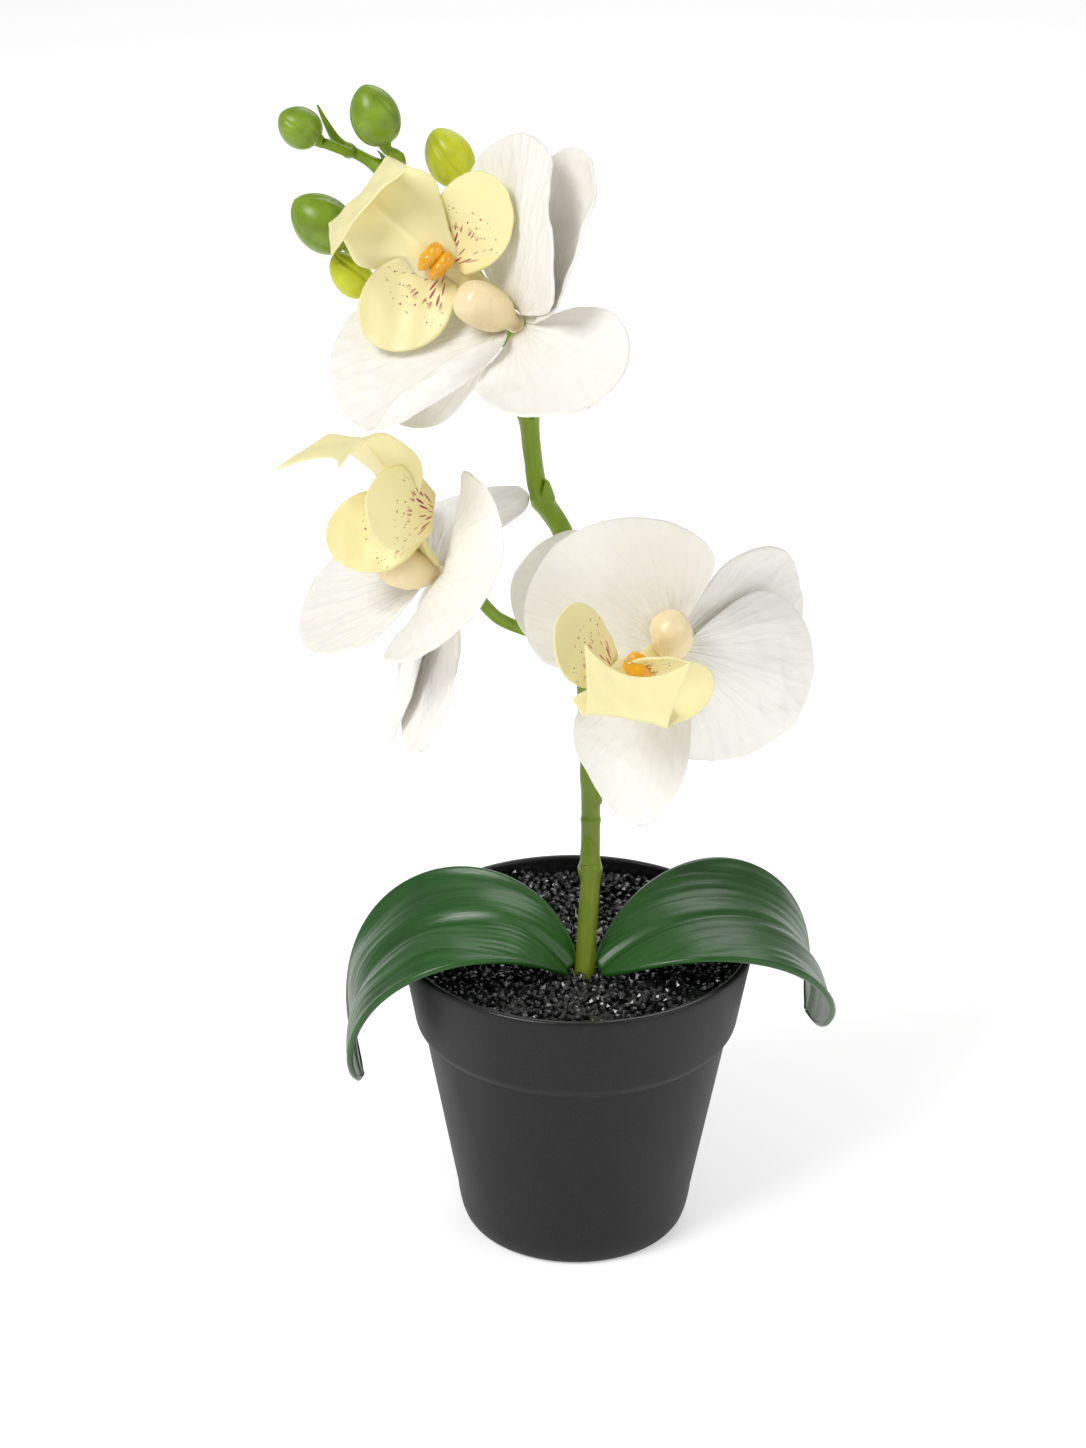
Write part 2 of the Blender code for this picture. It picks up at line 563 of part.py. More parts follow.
def make_lip(flower, spec, axes, group):
    """Middle lobe, two side lobes and the callus, grown as one piece."""
    lip, scale = LIPS[flower], spec["scale"]
    outward, _ = clock_axes(axes, lip["clock"])
    origin = from_foot(spec["at"]) + outward * LIP_FROM_AXIS + axes[0] * LIP_LAYER
    stations, total = lip_stations(origin, axes, lip, scale)

    def place(u, v):
        slide = NOTCH_DEPTH * scale * max(0.0, 1.0 - (1.0 - v) * total / (END_LENGTH * scale))
        at = min(max(v - slide * (1 - u * u) / total, 0.0), 1.0) * MIDLINE_STEPS
        index = min(int(at), MIDLINE_STEPS - 1)
        point, side, _, _ = (a.lerp(b, at - index) for a, b in zip(stations[index], stations[index + 1]))
        return point + side * (lip_half_width(v * total, scale) * u)

    middle = surface(f"{flower}_lip_middle", place, LIP_GRID, LIP_THICKNESS, None, group)
    station = stations[round(MIDLINE_STEPS * CLAW_LENGTH * scale / total)]
    joint = station[0]
    pieces = [as_plain_mesh(middle, f"{flower}_lip_middle", None, group)]
    for side, (place_on_claw, row) in lip["lobes"].items():
        name, start = f"{flower}_lobe_{side}", from_foot(place_on_claw)
        lobe = make_blade(name, scaled(SIDE_LOBE, scale), dict(zip(POSE_KEYS, row)), start, axes,
                          LIP_THICKNESS, None, group, LOBE_GRID)
        pieces.append(as_plain_mesh(lobe, name, None, group))
        root = [(*spot, LOBE_ROOT_RADIUS) for spot in (joint, start)]
        pieces.append(tube(f"{name}_root", root, None, group))
    bpy.ops.mesh.primitive_ico_sphere_add(subdivisions=1, radius=LIP_KNOT_RADIUS * MM, location=joint * MM)
    knot = bpy.context.object
    pieces.append(as_plain_mesh(knot, f"{flower}_knot", None, group))
    pieces += callus_ridges(flower, station, group)
    fuse(pieces, f"{flower}_lip", "lip", group)


def make_column(flower, spec, axes, group):
    """The flower's central column: a foot that everything seats on, and a swollen end."""
    lean = COLUMNS[flower]
    outward, _ = clock_axes(axes, lean["clock"])
    centre = from_foot(spec["at"])
    points = []
    for forward, radius in COLUMN_PROFILE:
        aside = max(0.0, forward - COLUMN_PROFILE[1][0]) * sin(radians(lean["lean"]))
        spot = centre + axes[0] * (forward * spec["scale"]) + outward * aside * spec["scale"]
        points.append((*spot, radius))
    tube(f"{flower}_column", points, "column", group)


def callus_ridges(flower, station, group):
    """Two rounded ridges that stand on the lip at the end of its claw."""
    point, across, normal, along = station
    centre = point + normal * (LIP_KNOT_RADIUS + CALLUS_RADII[2] - CALLUS_SUNK)
    halves = []
    for side in (-1, 1):
        bpy.ops.mesh.primitive_uv_sphere_add(segments=RIDGE_SIDES, ring_count=RIDGE_RINGS, radius=MM)
        half = bpy.context.object
        turn = Matrix((along, across, normal)).transposed().to_4x4()
        size = Matrix.Diagonal((*CALLUS_RADII, 1.0))
        half.matrix_world = Matrix.Translation((centre + along * (CALLUS_APART * side)) * MM) @ turn @ size
        bpy.context.view_layer.update()
        halves.append(as_plain_mesh(half, f"{flower}_ridge", None, group))
    return halves


def make_flower(flower, spec, group):
    axes = flower_axes(spec["azimuth"], spec["elevation"])
    make_tepals(flower, spec, axes, group)
    make_column(flower, spec, axes, group)
    make_lip(flower, spec, axes, group)
    stalk = STALKS[flower]
    end = from_foot(spec["at"]) - axes[0] * RECEPTACLE_BEHIND
    by = [from_foot(p) for p in stalk["by"]]
    start = start_on_stem(stalk["stem_height"], by[0], STALK_RADIUS)
    route = start + by + [end - axes[0] * back for back in (*RECEPTACLE_LENGTHS, 0.0)]
    radii = [STALK_RADIUS] * (len(route) - 1) + [RECEPTACLE_RADIUS]
    points = catmull_rom([Vector((*p, r)) for p, r in zip(route, radii)], STEM_POINT_SPACING)
    tube(f"{flower}_stalk", points, "stem", group)


# ---- buds -----------------------------------------------------------------------------------
def make_bud(name, spec, group):
    """An egg with a slightly pointed tip, grown on its stalk."""
    colour = "bud_yellow" if "yellow" in name else "bud"
    tip = Vector(spec["tip"]).normalized()
    centre = from_foot(spec["at"])
    bpy.ops.mesh.primitive_uv_sphere_add(segments=EGG_SIDES, ring_count=EGG_RINGS, radius=1.0)
    egg = bpy.context.object
    for vertex in egg.data.vertices:
        taper = 1.0 - BUD_TAPER * vertex.co.z
        x, y, z = (c * r for c, r in zip(vertex.co, spec["radii"]))
        vertex.co = (x * taper * MM, y * taper * MM, z * MM)
    egg.matrix_world = Matrix.Translation(centre * MM) @ tip.to_track_quat('Z', 'Y').to_matrix().to_4x4()
    egg = as_plain_mesh(egg, f"{name}_egg", None, group)
    by = [from_foot(p) for p in spec["by"]]
    start = start_on_stem(spec["stem_height"], by[0], BUD_STALK_RADIUS)
    route = start + by + [centre - tip * (spec["radii"][2] * STALK_REACH)]
    points = catmull_rom([Vector((*p, BUD_STALK_RADIUS)) for p in route], STEM_POINT_SPACING)
    stalk = tube(f"{name}_stalk", points, None, group)
    fuse([egg, stalk], name, colour, group)


def main():
    clear_scene()
    group = new_collection("potted_orchid")
    cutters = new_collection("cutters")
    make_pot(group)
    make_grit(group, cutters)
    tube("stem", stem_points(), "stem", group)
    make_leaves(group)
    for flower, spec in FLOWERS.items():
        make_flower(flower, spec, group)
    for name, spec in BUDS.items():
        make_bud(name, spec, group)


main()
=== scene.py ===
"""Potted moth orchid: the visible surfaces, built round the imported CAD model.

Lengths in the tables are millimetres and degrees, as in the CAD source. MM turns them into metres.
"""
import random
from math import cos, pi, radians, sin

import bmesh
import bpy
import numpy as np
from bpy.props import FloatProperty, FloatVectorProperty, IntProperty, PointerProperty
from mathutils import Matrix, Vector


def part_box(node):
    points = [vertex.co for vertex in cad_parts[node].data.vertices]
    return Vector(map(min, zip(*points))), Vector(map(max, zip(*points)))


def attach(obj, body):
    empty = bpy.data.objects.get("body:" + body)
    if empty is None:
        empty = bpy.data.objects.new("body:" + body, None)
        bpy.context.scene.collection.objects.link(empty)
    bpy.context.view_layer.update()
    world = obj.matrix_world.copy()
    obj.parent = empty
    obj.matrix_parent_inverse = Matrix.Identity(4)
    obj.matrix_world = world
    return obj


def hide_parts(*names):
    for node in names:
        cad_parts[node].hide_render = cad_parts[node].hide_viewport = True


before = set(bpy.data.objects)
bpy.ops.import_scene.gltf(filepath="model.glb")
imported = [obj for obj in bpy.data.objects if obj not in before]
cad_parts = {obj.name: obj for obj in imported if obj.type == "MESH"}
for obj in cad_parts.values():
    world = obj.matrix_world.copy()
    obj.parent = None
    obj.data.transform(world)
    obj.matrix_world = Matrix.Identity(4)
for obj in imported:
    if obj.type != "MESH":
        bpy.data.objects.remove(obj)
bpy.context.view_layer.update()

bl_info = {
    "name": "Potted Orchid",
    "version": (1, 0, 0),
    "blender": (4, 5, 0),
    "location": "3D View > Sidebar > Orchid",
    "description": "Builds a potted moth orchid round its CAD frame",
    "category": "Add Mesh",
}

MM = 0.001
POT_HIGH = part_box("pot")[1] / MM                 # the rim's radius and the pot's height
GRIT_LOW, GRIT_TOP = (corner.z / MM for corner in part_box("grit"))
GRIT_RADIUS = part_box("grit")[1].x / MM - 0.8     # a little inside the CAD grit's side


def plant_foot():
    """Where the stem leaves the grit: above the middle of the CAD stem's lowest ring."""
    points = [v.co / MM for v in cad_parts["stem"].data.vertices]
    lowest = min(p.z for p in points)
    ring = [p for p in points if p.z < lowest + 0.05]
    middle = sum(ring, Vector()) / len(ring)
    return Vector((middle.x, middle.y, GRIT_TOP))


FOOT = plant_foot()

# ---- the plant's routes and poses, from the plant's foot ------------------------------------
STEM_RADIUS = 2.5
STEM_ROUTE = [
    (0.0, 0.0, -3.0, 1.00), (0.0, 0.0, 0.0, 1.05), (0.2, 2.0, 5.0, 1.00), (0.8, 6.5, 15.0, 1.00),
    (1.1, 9.0, 20.0, 1.02), (1.1, 10.0, 22.0, 1.22), (1.2, 10.6, 23.4, 1.28), (1.2, 11.3, 25.0, 1.05),
    (1.1, 12.5, 28.0, 0.98), (1.1, 13.6, 34.0, 1.00), (1.1, 13.9, 35.2, 1.10), (1.1, 14.2, 36.4, 0.98),
    (1.1, 15.0, 42.0, 0.98), (0.9, 15.6, 46.5, 1.08), (0.7, 17.0, 56.0, 1.00), (-1.3, 18.0, 82.0, 1.00),
    (-3.7, 17.0, 99.0, 1.00), (-6.2, 16.0, 111.0, 1.00), (-10.2, 14.5, 119.0, 1.02), (-11.4, 14.0, 121.0, 1.18),
    (-12.2, 13.8, 123.5, 1.02), (-13.2, 13.5, 127.0, 0.92), (-14.6, 13.0, 140.0, 0.92), (-15.0, 13.0, 143.5, 1.12),
    (-15.4, 13.1, 146.5, 1.22), (-15.8, 13.4, 148.5, 0.95), (-17.5, 15.0, 156.0, 0.88), (-24.0, 16.0, 171.0, 0.85),
    (-35.5, 13.0, 187.5, 0.80), (-43.5, 9.0, 198.5, 0.80), (-47.6, 7.5, 204.0, 0.90), (-52.0, 8.0, 207.0, 0.55),
    (-58.2, 8.5, 210.5, 0.50), (-61.2, 9.0, 215.0, 0.30), (-63.3, 9.0, 219.5, 0.10),
]
LEAF_PATTERN = dict(base=0.12, widest=0.53, shoulder=0.75, tip=0.55, fan=0.0)
LEAVES = {
    "leaf_left": dict(at=(-3.6, -1.6, 1.2), clock=-81, pitch=60, bend=-170, sway=-4, roll=12, twist=-4,
                      curl_left=-6, curl_right=15, length=93, width=39.5, bend_power=0.85),
    "leaf_right": dict(at=(3.6, -1.6, 1.2), clock=76, pitch=40, bend=-140, sway=-21, roll=-6, twist=7,
                       curl_left=27, curl_right=-10, length=91, width=42, bend_power=1.1),
}
PETAL = dict(length=38.0, width=49.5, base=0.10, widest=0.55, shoulder=0.85, tip=0.50, fan=3.0)
SEPAL = dict(length=41.0, width=33.5, base=0.12, widest=0.56, shoulder=0.90, tip=0.50, fan=0.0)
SIDE_LOBE = dict(length=21.0, width=19.0, base=0.45, widest=0.55, shoulder=0.90, tip=0.50, fan=1.5)
FOLDED = {"upper_flower_petal_lower": 2.5}      # radians that a petal's left margin is rolled over by
POSE_KEYS = ("clock", "pitch", "bend", "sway", "roll", "twist", "curl_left", "curl_right")
HUB_RADIUS, PETAL_LAYER = 2.6, 1.2
FLOWERS = {
    "lower_flower": dict(
        at=(19.6, -11.0, 93.0), azimuth=3, elevation=27, scale=1.0,
        petals=dict(petal_left=(-44, 29, -1, 1, 14, 10, 5, 24), petal_right=(115, -18, -25, 10, -4, -7, -30, -49)),
        sepals=dict(dorsal_sepal=(70, -14, -37, -3, -10, -9, 16, -12),
                    lower_sepal=(-155, 14, -62, -9, -35, -4, 5, 20),
                    left_sepal=(-54, -3, -29, -5, -2, -7, -10, -18)),
        lip=dict(clock=-120, panel_clock=-170, pitch=50, claw_bend=5, panel_bend=5, fold=112, end_bend=10),
        lobes=dict(left=((4.4, -29.3, 96.2), (-54, 22, 31, 5, -31, 7, 5, 7)),
                   right=((7.7, -30.2, 94.0), (100, 4, -5, -12, -33, 0, 40, 30))),
        column=(-14, 30), stem_height=64.0, by=[(13.0, 8.0, 79.9)]),
    "left_flower": dict(
        at=(-36.2, -11.0, 112.2), azimuth=-58, elevation=25, scale=1.0,
        petals=dict(petal_near=(76, 34, -34, 7, 14, 0, 39, 22), petal_far=(-113, 9, -2, -5, -12, -13, 22, -15)),
        sepals=dict(sepal_near=(146, 2, 8, 3, -15, -3, 3, 6),
                    sepal_far=(-171, 4, -32, 2, -21, -13, -15, -23),
                    dorsal_sepal=(-56, -24, -30, -2, -23, -1, 18, -27)),
        lip=dict(clock=-4, panel_clock=-19, pitch=56, claw_bend=-18, panel_bend=34, fold=60, end_bend=15),
        lobes=dict(far=((-41.1, -15.1, 127.0), (-139, 35, 20, 1, 25, 0, 16, 25)),
                   near=((-37.2, -17.2, 130.2), (99, 76, 9, 0, -28, 0, 10, 10))),
        column=(-110, 20), stem_height=84.0, by=[(-10.5, 8.5, 87.9), (-22.0, 1.0, 95.9)]),
    "upper_flower": dict(
        at=(-18.6, -19.0, 177.7), azimuth=-42, elevation=35, scale=1.06,
        petals=dict(petal_upper=(9, 40, -16, -4, 8, 15, 7, 23), petal_lower=(-151, 31, -10, -4, -10, 10, 56, 1)),
        sepals=dict(dorsal_sepal=(111, 27, -15, -1, 13, 20, 17, 18),
                    upper_sepal=(33, 27, 6, -3, 5, 5, 11, 36),
                    lower_sepal=(-115, -6, -4, -2, 3, 0, -20, -7)),
        lip=dict(clock=-68, panel_clock=-66, pitch=40, claw_bend=8, panel_bend=-20, fold=130, end_bend=10),
        lobes=dict(left=((-34.3, -16.4, 188.1), (-157, 15, -6, -4, 30, 3, 12, 22)),
                   right=((-31.9, -16.0, 190.6), (19, 8, 20, 4, -12, -4, 14, 5))),
        column=(-95, 20), stem_height=146.0, by=[(-14.0, 5.0, 157.9)]),
}
CLAW_LENGTH, PANEL_LENGTH, END_LENGTH, FOLD_LENGTH, LIP_TURN_LENGTH = 17.0, 20.0, 16.0, 5.0, 10.0
LIP_WIDTHS = [(0.0, 3.2), (12.0, 3.6), (17.0, 5.0), (24.0, 9.5), (29.0, 12.2), (34.0, 10.6), (38.0, 9.4),
              (45.0, 10.4), (53.0, 12.2)]        # half widths of the middle lobe along its length
NOTCH_DEPTH = 5.5
CALLUS_RADII, CALLUS_APART, CALLUS_SUNK = (1.9, 3.6, 2.4), 1.5, 0.8
COLUMN_PROFILE = [(-1.8, 2.2), (1.2, 2.4), (2.2, 3.4), (3.8, 4.4), (6.5, 5.0), (10.0, 5.0), (12.3, 4.3),
                  (13.6, 3.0), (14.3, 0.5)]
STALK_RADIUS, RECEPTACLE_RADIUS = 1.5, 2.2
BUD_STALK_RADIUS = 1.2
BUDS = {
    "bud_top_left": dict(at=(-67.2, 3.0, 216.1), radii=(4.7, 4.7, 5.3), tip=(-0.75, -0.2, 0.6),
                         stem_height=209.0, by=[(-61.0, 4.0, 211.9)]),
    "bud_top": dict(at=(-50.2, 5.0, 218.5), radii=(5.6, 5.6, 7.2), tip=(-0.35, 0.0, 1.0),
                    stem_height=203.0, by=[(-44.6, 4.5, 208.9)]),
    "bud_side": dict(at=(-62.8, 5.0, 193.1), radii=(6.4, 6.4, 8.0), tip=(-0.75, 0.0, 0.65),
                     stem_height=192.0, by=[(-51.0, 11.0, 188.9)]),
    "bud_yellow_right": dict(at=(-33.5, 13.0, 206.5), radii=(5.4, 5.4, 7.0), tip=(-0.5, 0.2, 0.9),
                             stem_height=180.0, by=[(-29.0, 17.0, 193.9)]),
    "bud_yellow_left": dict(at=(-56.5, 9.0, 179.4), radii=(4.4, 4.4, 6.0), tip=(-0.6, 0.0, 0.8),
                            stem_height=170.0, by=[(-49.0, 15.0, 168.9)]),
}
POT_SIDES, POT_WALL, POT_FLOOR, POT_RECESS = 144, 1.6, 2.4, 0.7
BAND_INSET, BODY_INSET, FOOT_INSET, BASE_INSET = 3.6, 5.9, 14.5, 17.2    # how far each is inside the rim
BAND_DEPTH, STEP_DEPTH = 22.0, 24.5                                      # how far each is below the rim
STEM_SCALES = [(24.0, -15, 7.5, 5.2), (40.0, 75, 4.5, 4.0), (121.0, 60, 6.0, 5.0), (145.0, -10, 6.5, 6.0),
               (204.0, 100, 5.0, 4.0), (56.0, -95, 3.6, 3.6)]            # height, clock, length and width
BUD_STALK_TAPER = (1.9, 1.5)         # radii of a bud's stalk where it leaves the stem
MIDLINE_STEPS = 80
MOST_GRANULES = 1.4e6        # a square metre, far more than their spacing leaves room for


# ---- colours --------------------------------------------------------------------------------
def linear(text):
    """An sRGB hex colour as linear red, green and blue."""
    parts = [int(text[i:i + 2], 16) / 255 for i in (1, 3, 5)]
    return tuple(c / 12.92 if c <= 0.04045 else ((c + 0.055) / 1.055) ** 2.4 for c in parts)


def colour(name, description, text):
    return FloatVectorProperty(name=name, description=description, subtype='COLOR', size=3, min=0.0, max=1.0,
                               default=linear(text))


def length(name, description, default):
    return FloatProperty(name=name, description=description, default=default, min=0.0, unit='LENGTH')


class OrchidSizes(bpy.types.PropertyGroup):
    petal_thickness: length("Petal thickness", "Thickness of a petal or sepal", 0.00055)
    vein_height: length("Vein height", "How far a petal's main veins stand up", 0.00024)
    leaf_thickness: length("Leaf thickness", "Thickness of a leaf in its middle", 0.0014)
    lip_thickness: length("Lip thickness", "Thickness of the lip and its lobes", 0.0007)
    granule: length("Granule", "Usual width of a granule of grit", 0.0029)
    granule_spacing: length("Granule spacing", "Least distance between granules' middles", 0.0017)
    seed: IntProperty(name="Seed", description="Seed of the granules' places", default=5)


class OrchidColours(bpy.types.PropertyGroup):
    pot: colour("Pot", "Black moulded plastic", "#101011")
    grit: colour("Grit", "Black glassy granules", "#0b0b0c")
    petal: colour("Petal", "Warm white petals", "#f9f6ef")
    # cream at a petal's narrow end: partly the petal's own colour, partly painted warm shade where the flower's
    # parts meet
    petal_cream_and_shade: colour("Petal's heart", "Cream at a petal's narrow end", "#efe6cf")
    lip: colour("Lip", "Pale yellow lip", "#f2e8b2")
    lip_deep: colour("Lip's heart", "Deeper yellow near the callus", "#ead996")
    streak: colour("Streaks", "Red streaks and dots on the side lobes", "#9c2440")
    callus: colour("Callus", "Orange callus", "#f9b21c")
    column: colour("Column", "Cream column", "#f9e6ba")
    leaf: colour("Leaf", "Dark green leaf", "#1d5213")
    leaf_streak: colour("Leaf streaks", "Greyer green streaks along a leaf", "#33622b")
    stem_low: colour("Stem near the grit", "Olive green", "#707c0e")
    stem_high: colour("Stem higher up", "Fresh green", "#7d9c12")
    bud: colour("Green bud", "Green bud", "#86a626")
    bud_yellow: colour("Yellow bud", "Yellow-green bud", "#cfd629")


# ---- materials ------------------------------------------------------------------------------
def feed(tree, node, inputs):
    """Sets a node's inputs, or links them to other nodes' outputs."""
    for key, value in inputs.items() if isinstance(inputs, dict) else enumerate(inputs):
        socket = node.inputs[key]
        if isinstance(value, bpy.types.NodeSocket):
            tree.links.new(value, socket)
        else:
            socket.default_value = (*value, 1.0) if socket.type == 'RGBA' and len(value) == 3 else value


def add(tree, kind, inputs=(), out=0, stops=(), **settings):
    """Adds a node and returns one of its outputs, or the node itself if out is None.

    The kind's ShaderNode prefix may be left out. Inputs are a row or a dict, and stops are a colour ramp's
    places with a grey or a linear colour.
    """
    node = tree.nodes.new(kind if "Node" in kind else "ShaderNode" + kind)
    for key, value in settings.items():
        setattr(node, key, value)
    feed(tree, node, inputs)
    for index, (place, value) in enumerate(stops):
        elements = node.color_ramp.elements
        stop = elements[index] if index < 2 else elements.new(place)
        stop.position = place
        stop.color = (*((value,) * 3 if isinstance(value, float) else value), 1.0)
    return node if out is None else node.outputs[out]


def new_material(name, **shader_values):
    """A material whose Principled shader takes the values that are the same all over."""
    made = bpy.data.materials.new(name)
    made.use_nodes = True
    tree = made.node_tree
    shader = tree.nodes["Principled BSDF"]
    feed(tree, shader, {key.replace("_", " "): value for key, value in shader_values.items()})
    return made, tree, shader


def finish_with(tree, shader, body, rough, height, height_mm, strength):
    """Gives the shader its colour, its roughness and a relief this high."""
    relief = add(tree, "Bump", {"Height": height, "Distance": height_mm * MM, "Strength": strength})
    feed(tree, shader, {"Base Color": body, "Roughness": rough, "Normal": relief})


def blobs(tree, size_mm, detail=3.0, stretch=(1.0, 1.0, 1.0)):
    """Noise whose blobs are about size_mm across, on Object coordinates."""
    scale = tuple(s / (size_mm * MM) for s in stretch)
    placed = add(tree, "Mapping", {"Vector": add(tree, "TexCoord", out="Object"), "Scale": scale})
    return add(tree, "TexNoise", {"Vector": placed, "Scale": 1.0, "Detail": detail})


def on_sheet(tree, layer, scale):
    """A point of the piece's own UV map, with this many cells a unit."""
    return add(tree, "Mapping", {"Vector": add(tree, "UVMap", uv_map=layer), "Scale": scale})


def streaky(tree, layer, scale, detail, roughness=0.5):
    """Noise on the piece's own UV map, drawn out into streaks by unequal scales."""
    return add(tree, "TexNoise", {"Vector": on_sheet(tree, layer, scale), "Scale": 1.0, "Detail": detail,
                                  "Roughness": roughness})


def shade(colour, share, lift=0.0):
    return tuple(c * share + lift for c in colour)


def pot_material(colours):
    """Polypropylene, injection moulded in a spark-eroded mould: nearly black, matt, with a fine pebbled skin."""
    made, tree, shader = new_material("polypropylene_matt_moulded", Specular_IOR_Level=0.32, IOR=1.49)
    fine = blobs(tree, 0.55, 4.0)            # the real texture is about 0.3 mm, drawn coarser to show
    broad = blobs(tree, 14.0, 4.0, (1.0, 1.0, 0.5))
    base = tuple(colours.pot)
    body = add(tree, "ValToRGB", [fine], stops=[(0.35, base), (0.72, shade(base, 1.6, 0.0015))])
    rough = add(tree, "Math", [broad, 0.16, 0.44], operation='MULTIPLY_ADD')
    finish_with(tree, shader, body, rough, fine, 0.10, 0.55)
    return made


def pot_rim_material(colours):
    """The same polypropylene where the mould was polished: the smooth, glossier lip and inner wall."""
    made, tree, shader = new_material("polypropylene_polished_lip", Specular_IOR_Level=0.5, IOR=1.49)
    wear = blobs(tree, 5.0, 5.0)
    base = tuple(colours.pot)
    body = add(tree, "ValToRGB", [wear], stops=[(0.3, base), (0.8, shade(base, 1.4))])
    rough = add(tree, "Math", [wear, 0.18, 0.16], operation='MULTIPLY_ADD')
    finish_with(tree, shader, body, rough, wear, 0.05, 0.3)
    return made


def grit_material(colours):
    """Black glass grit, crushed and tumbled: wet-looking faces with bright glints and a few smoky grains."""
    made, tree, shader = new_material("glass_grit_tumbled", IOR=1.52, Coat_Weight=0.6, Coat_Roughness=0.05)
    base, tone, fine = tuple(colours.grit), blobs(tree, 2.4, 2.0), blobs(tree, 0.5, 3.0)
    body = add(tree, "ValToRGB", [tone],
               stops=[(0.4, base), (0.62, shade(base, 2.0)), (0.8, linear("#2c2d2f"))])
    rough = add(tree, "ValToRGB", [fine], stops=[(0.3, 0.08), (0.7, 0.32)])
    finish_with(tree, shader, body, rough, fine, 0.08, 0.5)
    return made


def petal_material(colours):
    """Latex petal, pressed in a hot veined mould: warm white, silky, letting a little light through.

    The veins fan out from the narrow end, so they follow the angle and the distance from it.
    """
    made, tree, shader = new_material("latex_petal_pressed", IOR=1.45, Specular_IOR_Level=0.35,
                                      Subsurface_Weight=0.22, Subsurface_Radius=(1.0, 0.85, 0.6),
                                      Subsurface_Scale=0.0012, Sheen_Weight=0.08)
    split = add(tree, "SeparateXYZ", [on_sheet(tree, "fan", (1.0, 1.0, 1.0))], out=None)
    angle, reach = split.outputs[0], split.outputs[1]
    wander = streaky(tree, "fan", (2.2, 1.3, 1.0), 2.0)
    bent = add(tree, "Math", [wander, 0.10, angle], operation='MULTIPLY_ADD')
    # secondary veins lie about 4 mm apart near the margin, between the raised ones
    turns = add(tree, "Math", [bent, 58.0], operation='MULTIPLY')
    wave = add(tree, "Math", [add(tree, "Math", [turns], operation='SINE'), 0.5, 0.5], operation='MULTIPLY_ADD')
    vein = add(tree, "Math", [wave, 3.0], operation='POWER')
    # the finest lines run with the veins, broken up along their length
    lines = streaky(tree, "fan", (34.0, 1.6, 1.0), 4.0)
    low_vein = add(tree, "Math", [vein, 0.5], operation='MULTIPLY')
    relief = add(tree, "Math", [lines, 1.1, low_vein], operation='MULTIPLY_ADD')
    crinkle = blobs(tree, 1.6, 3.0)
    height = add(tree, "Math", [crinkle, 0.35, relief], operation='MULTIPLY_ADD')
    # the narrow end turns cream: partly the petal's own colour, partly painted warm shade where the petals meet at
    # the flower's middle; the veins take a little of it too
    heart, petal = tuple(colours.petal_cream_and_shade), tuple(colours.petal)
    body = add(tree, "ValToRGB", [reach], stops=[(0.0, heart), (0.9, petal)])
    tinge = add(tree, "Math", [vein, 0.05], operation='MULTIPLY')
    tinged = add(tree, "Mix", {"Factor": tinge, 6: body, 7: heart}, out=2, data_type='RGBA')
    rough = add(tree, "Math", [crinkle, 0.2, 0.38], operation='MULTIPLY_ADD')
    finish_with(tree, shader, tinged, rough, height, 0.20, 1.0)
    return made


def lip_marks(tree, angle, reach):
    """Streaks near a lobe's root and dots further out, as a mask; it fades towards the lobe's sides."""
    out = add(tree, "Math", [reach, 0.4], operation='MULTIPLY')      # brings 25 mm onto the ramps' 0 to 1
    masks = []
    for cells, randomness, edge, band in (
            ((8.5, 2.1, 1.0), 0.75, (0.33, 0.39), (0.09, 0.12, 0.36, 0.44)),
            ((13.0, 8.0, 1.0), 0.9, (0.18, 0.24), (0.30, 0.40, 0.54, 0.60))):
        cell = add(tree, "TexVoronoi", {"Vector": on_sheet(tree, "fan", cells), "Scale": 1.0,
                                        "Randomness": randomness}, out="Distance")
        marks = add(tree, "ValToRGB", [cell], stops=zip(edge, (1.0, 0.0)))
        where = add(tree, "ValToRGB", [out], stops=zip(band, (0.0, 1.0, 1.0, 0.0)))
        masks.append(add(tree, "Math", [marks, where], operation='MULTIPLY'))
    inside = add(tree, "ValToRGB", [add(tree, "Math", [angle], operation='ABSOLUTE')],
                 stops=[(0.62, 1.0), (0.85, 0.0)])
    return add(tree, "Math", [add(tree, "Math", masks, operation='MAXIMUM'), inside], operation='MULTIPLY')


def lip_material(colours, spotted):
    """Soft latex, dipped thin and smooth: pale yellow, waxy, printed with red streaks where it is spotted."""
    made, tree, shader = new_material("latex_lip_spotted" if spotted else "latex_lip_plain", IOR=1.46,
                                      Subsurface_Weight=0.3, Subsurface_Radius=(1.0, 0.8, 0.25),
                                      Subsurface_Scale=0.0015)
    split = add(tree, "SeparateXYZ", [on_sheet(tree, "fan", (1.0, 1.0, 1.0))], out=None)
    angle, reach = split.outputs[0], split.outputs[1]
    half = add(tree, "Math", [reach, 0.5], operation='MULTIPLY')
    tone = add(tree, "Math", [blobs(tree, 7.0, 2.0), 0.25, half], operation='MULTIPLY_ADD')
    body = add(tree, "ValToRGB", [tone], stops=[(0.10, tuple(colours.lip_deep)), (0.75, tuple(colours.lip))])
    if spotted:
        body = add(tree, "Mix", {"Factor": lip_marks(tree, angle, reach), 6: body, 7: tuple(colours.streak)},
                   out=2, data_type='RGBA')
    soft = blobs(tree, 1.6, 3.0)
    rough = add(tree, "Math", [soft, 0.15, 0.32], operation='MULTIPLY_ADD')
    finish_with(tree, shader, body, rough, soft, 0.08, 0.4)
    return made


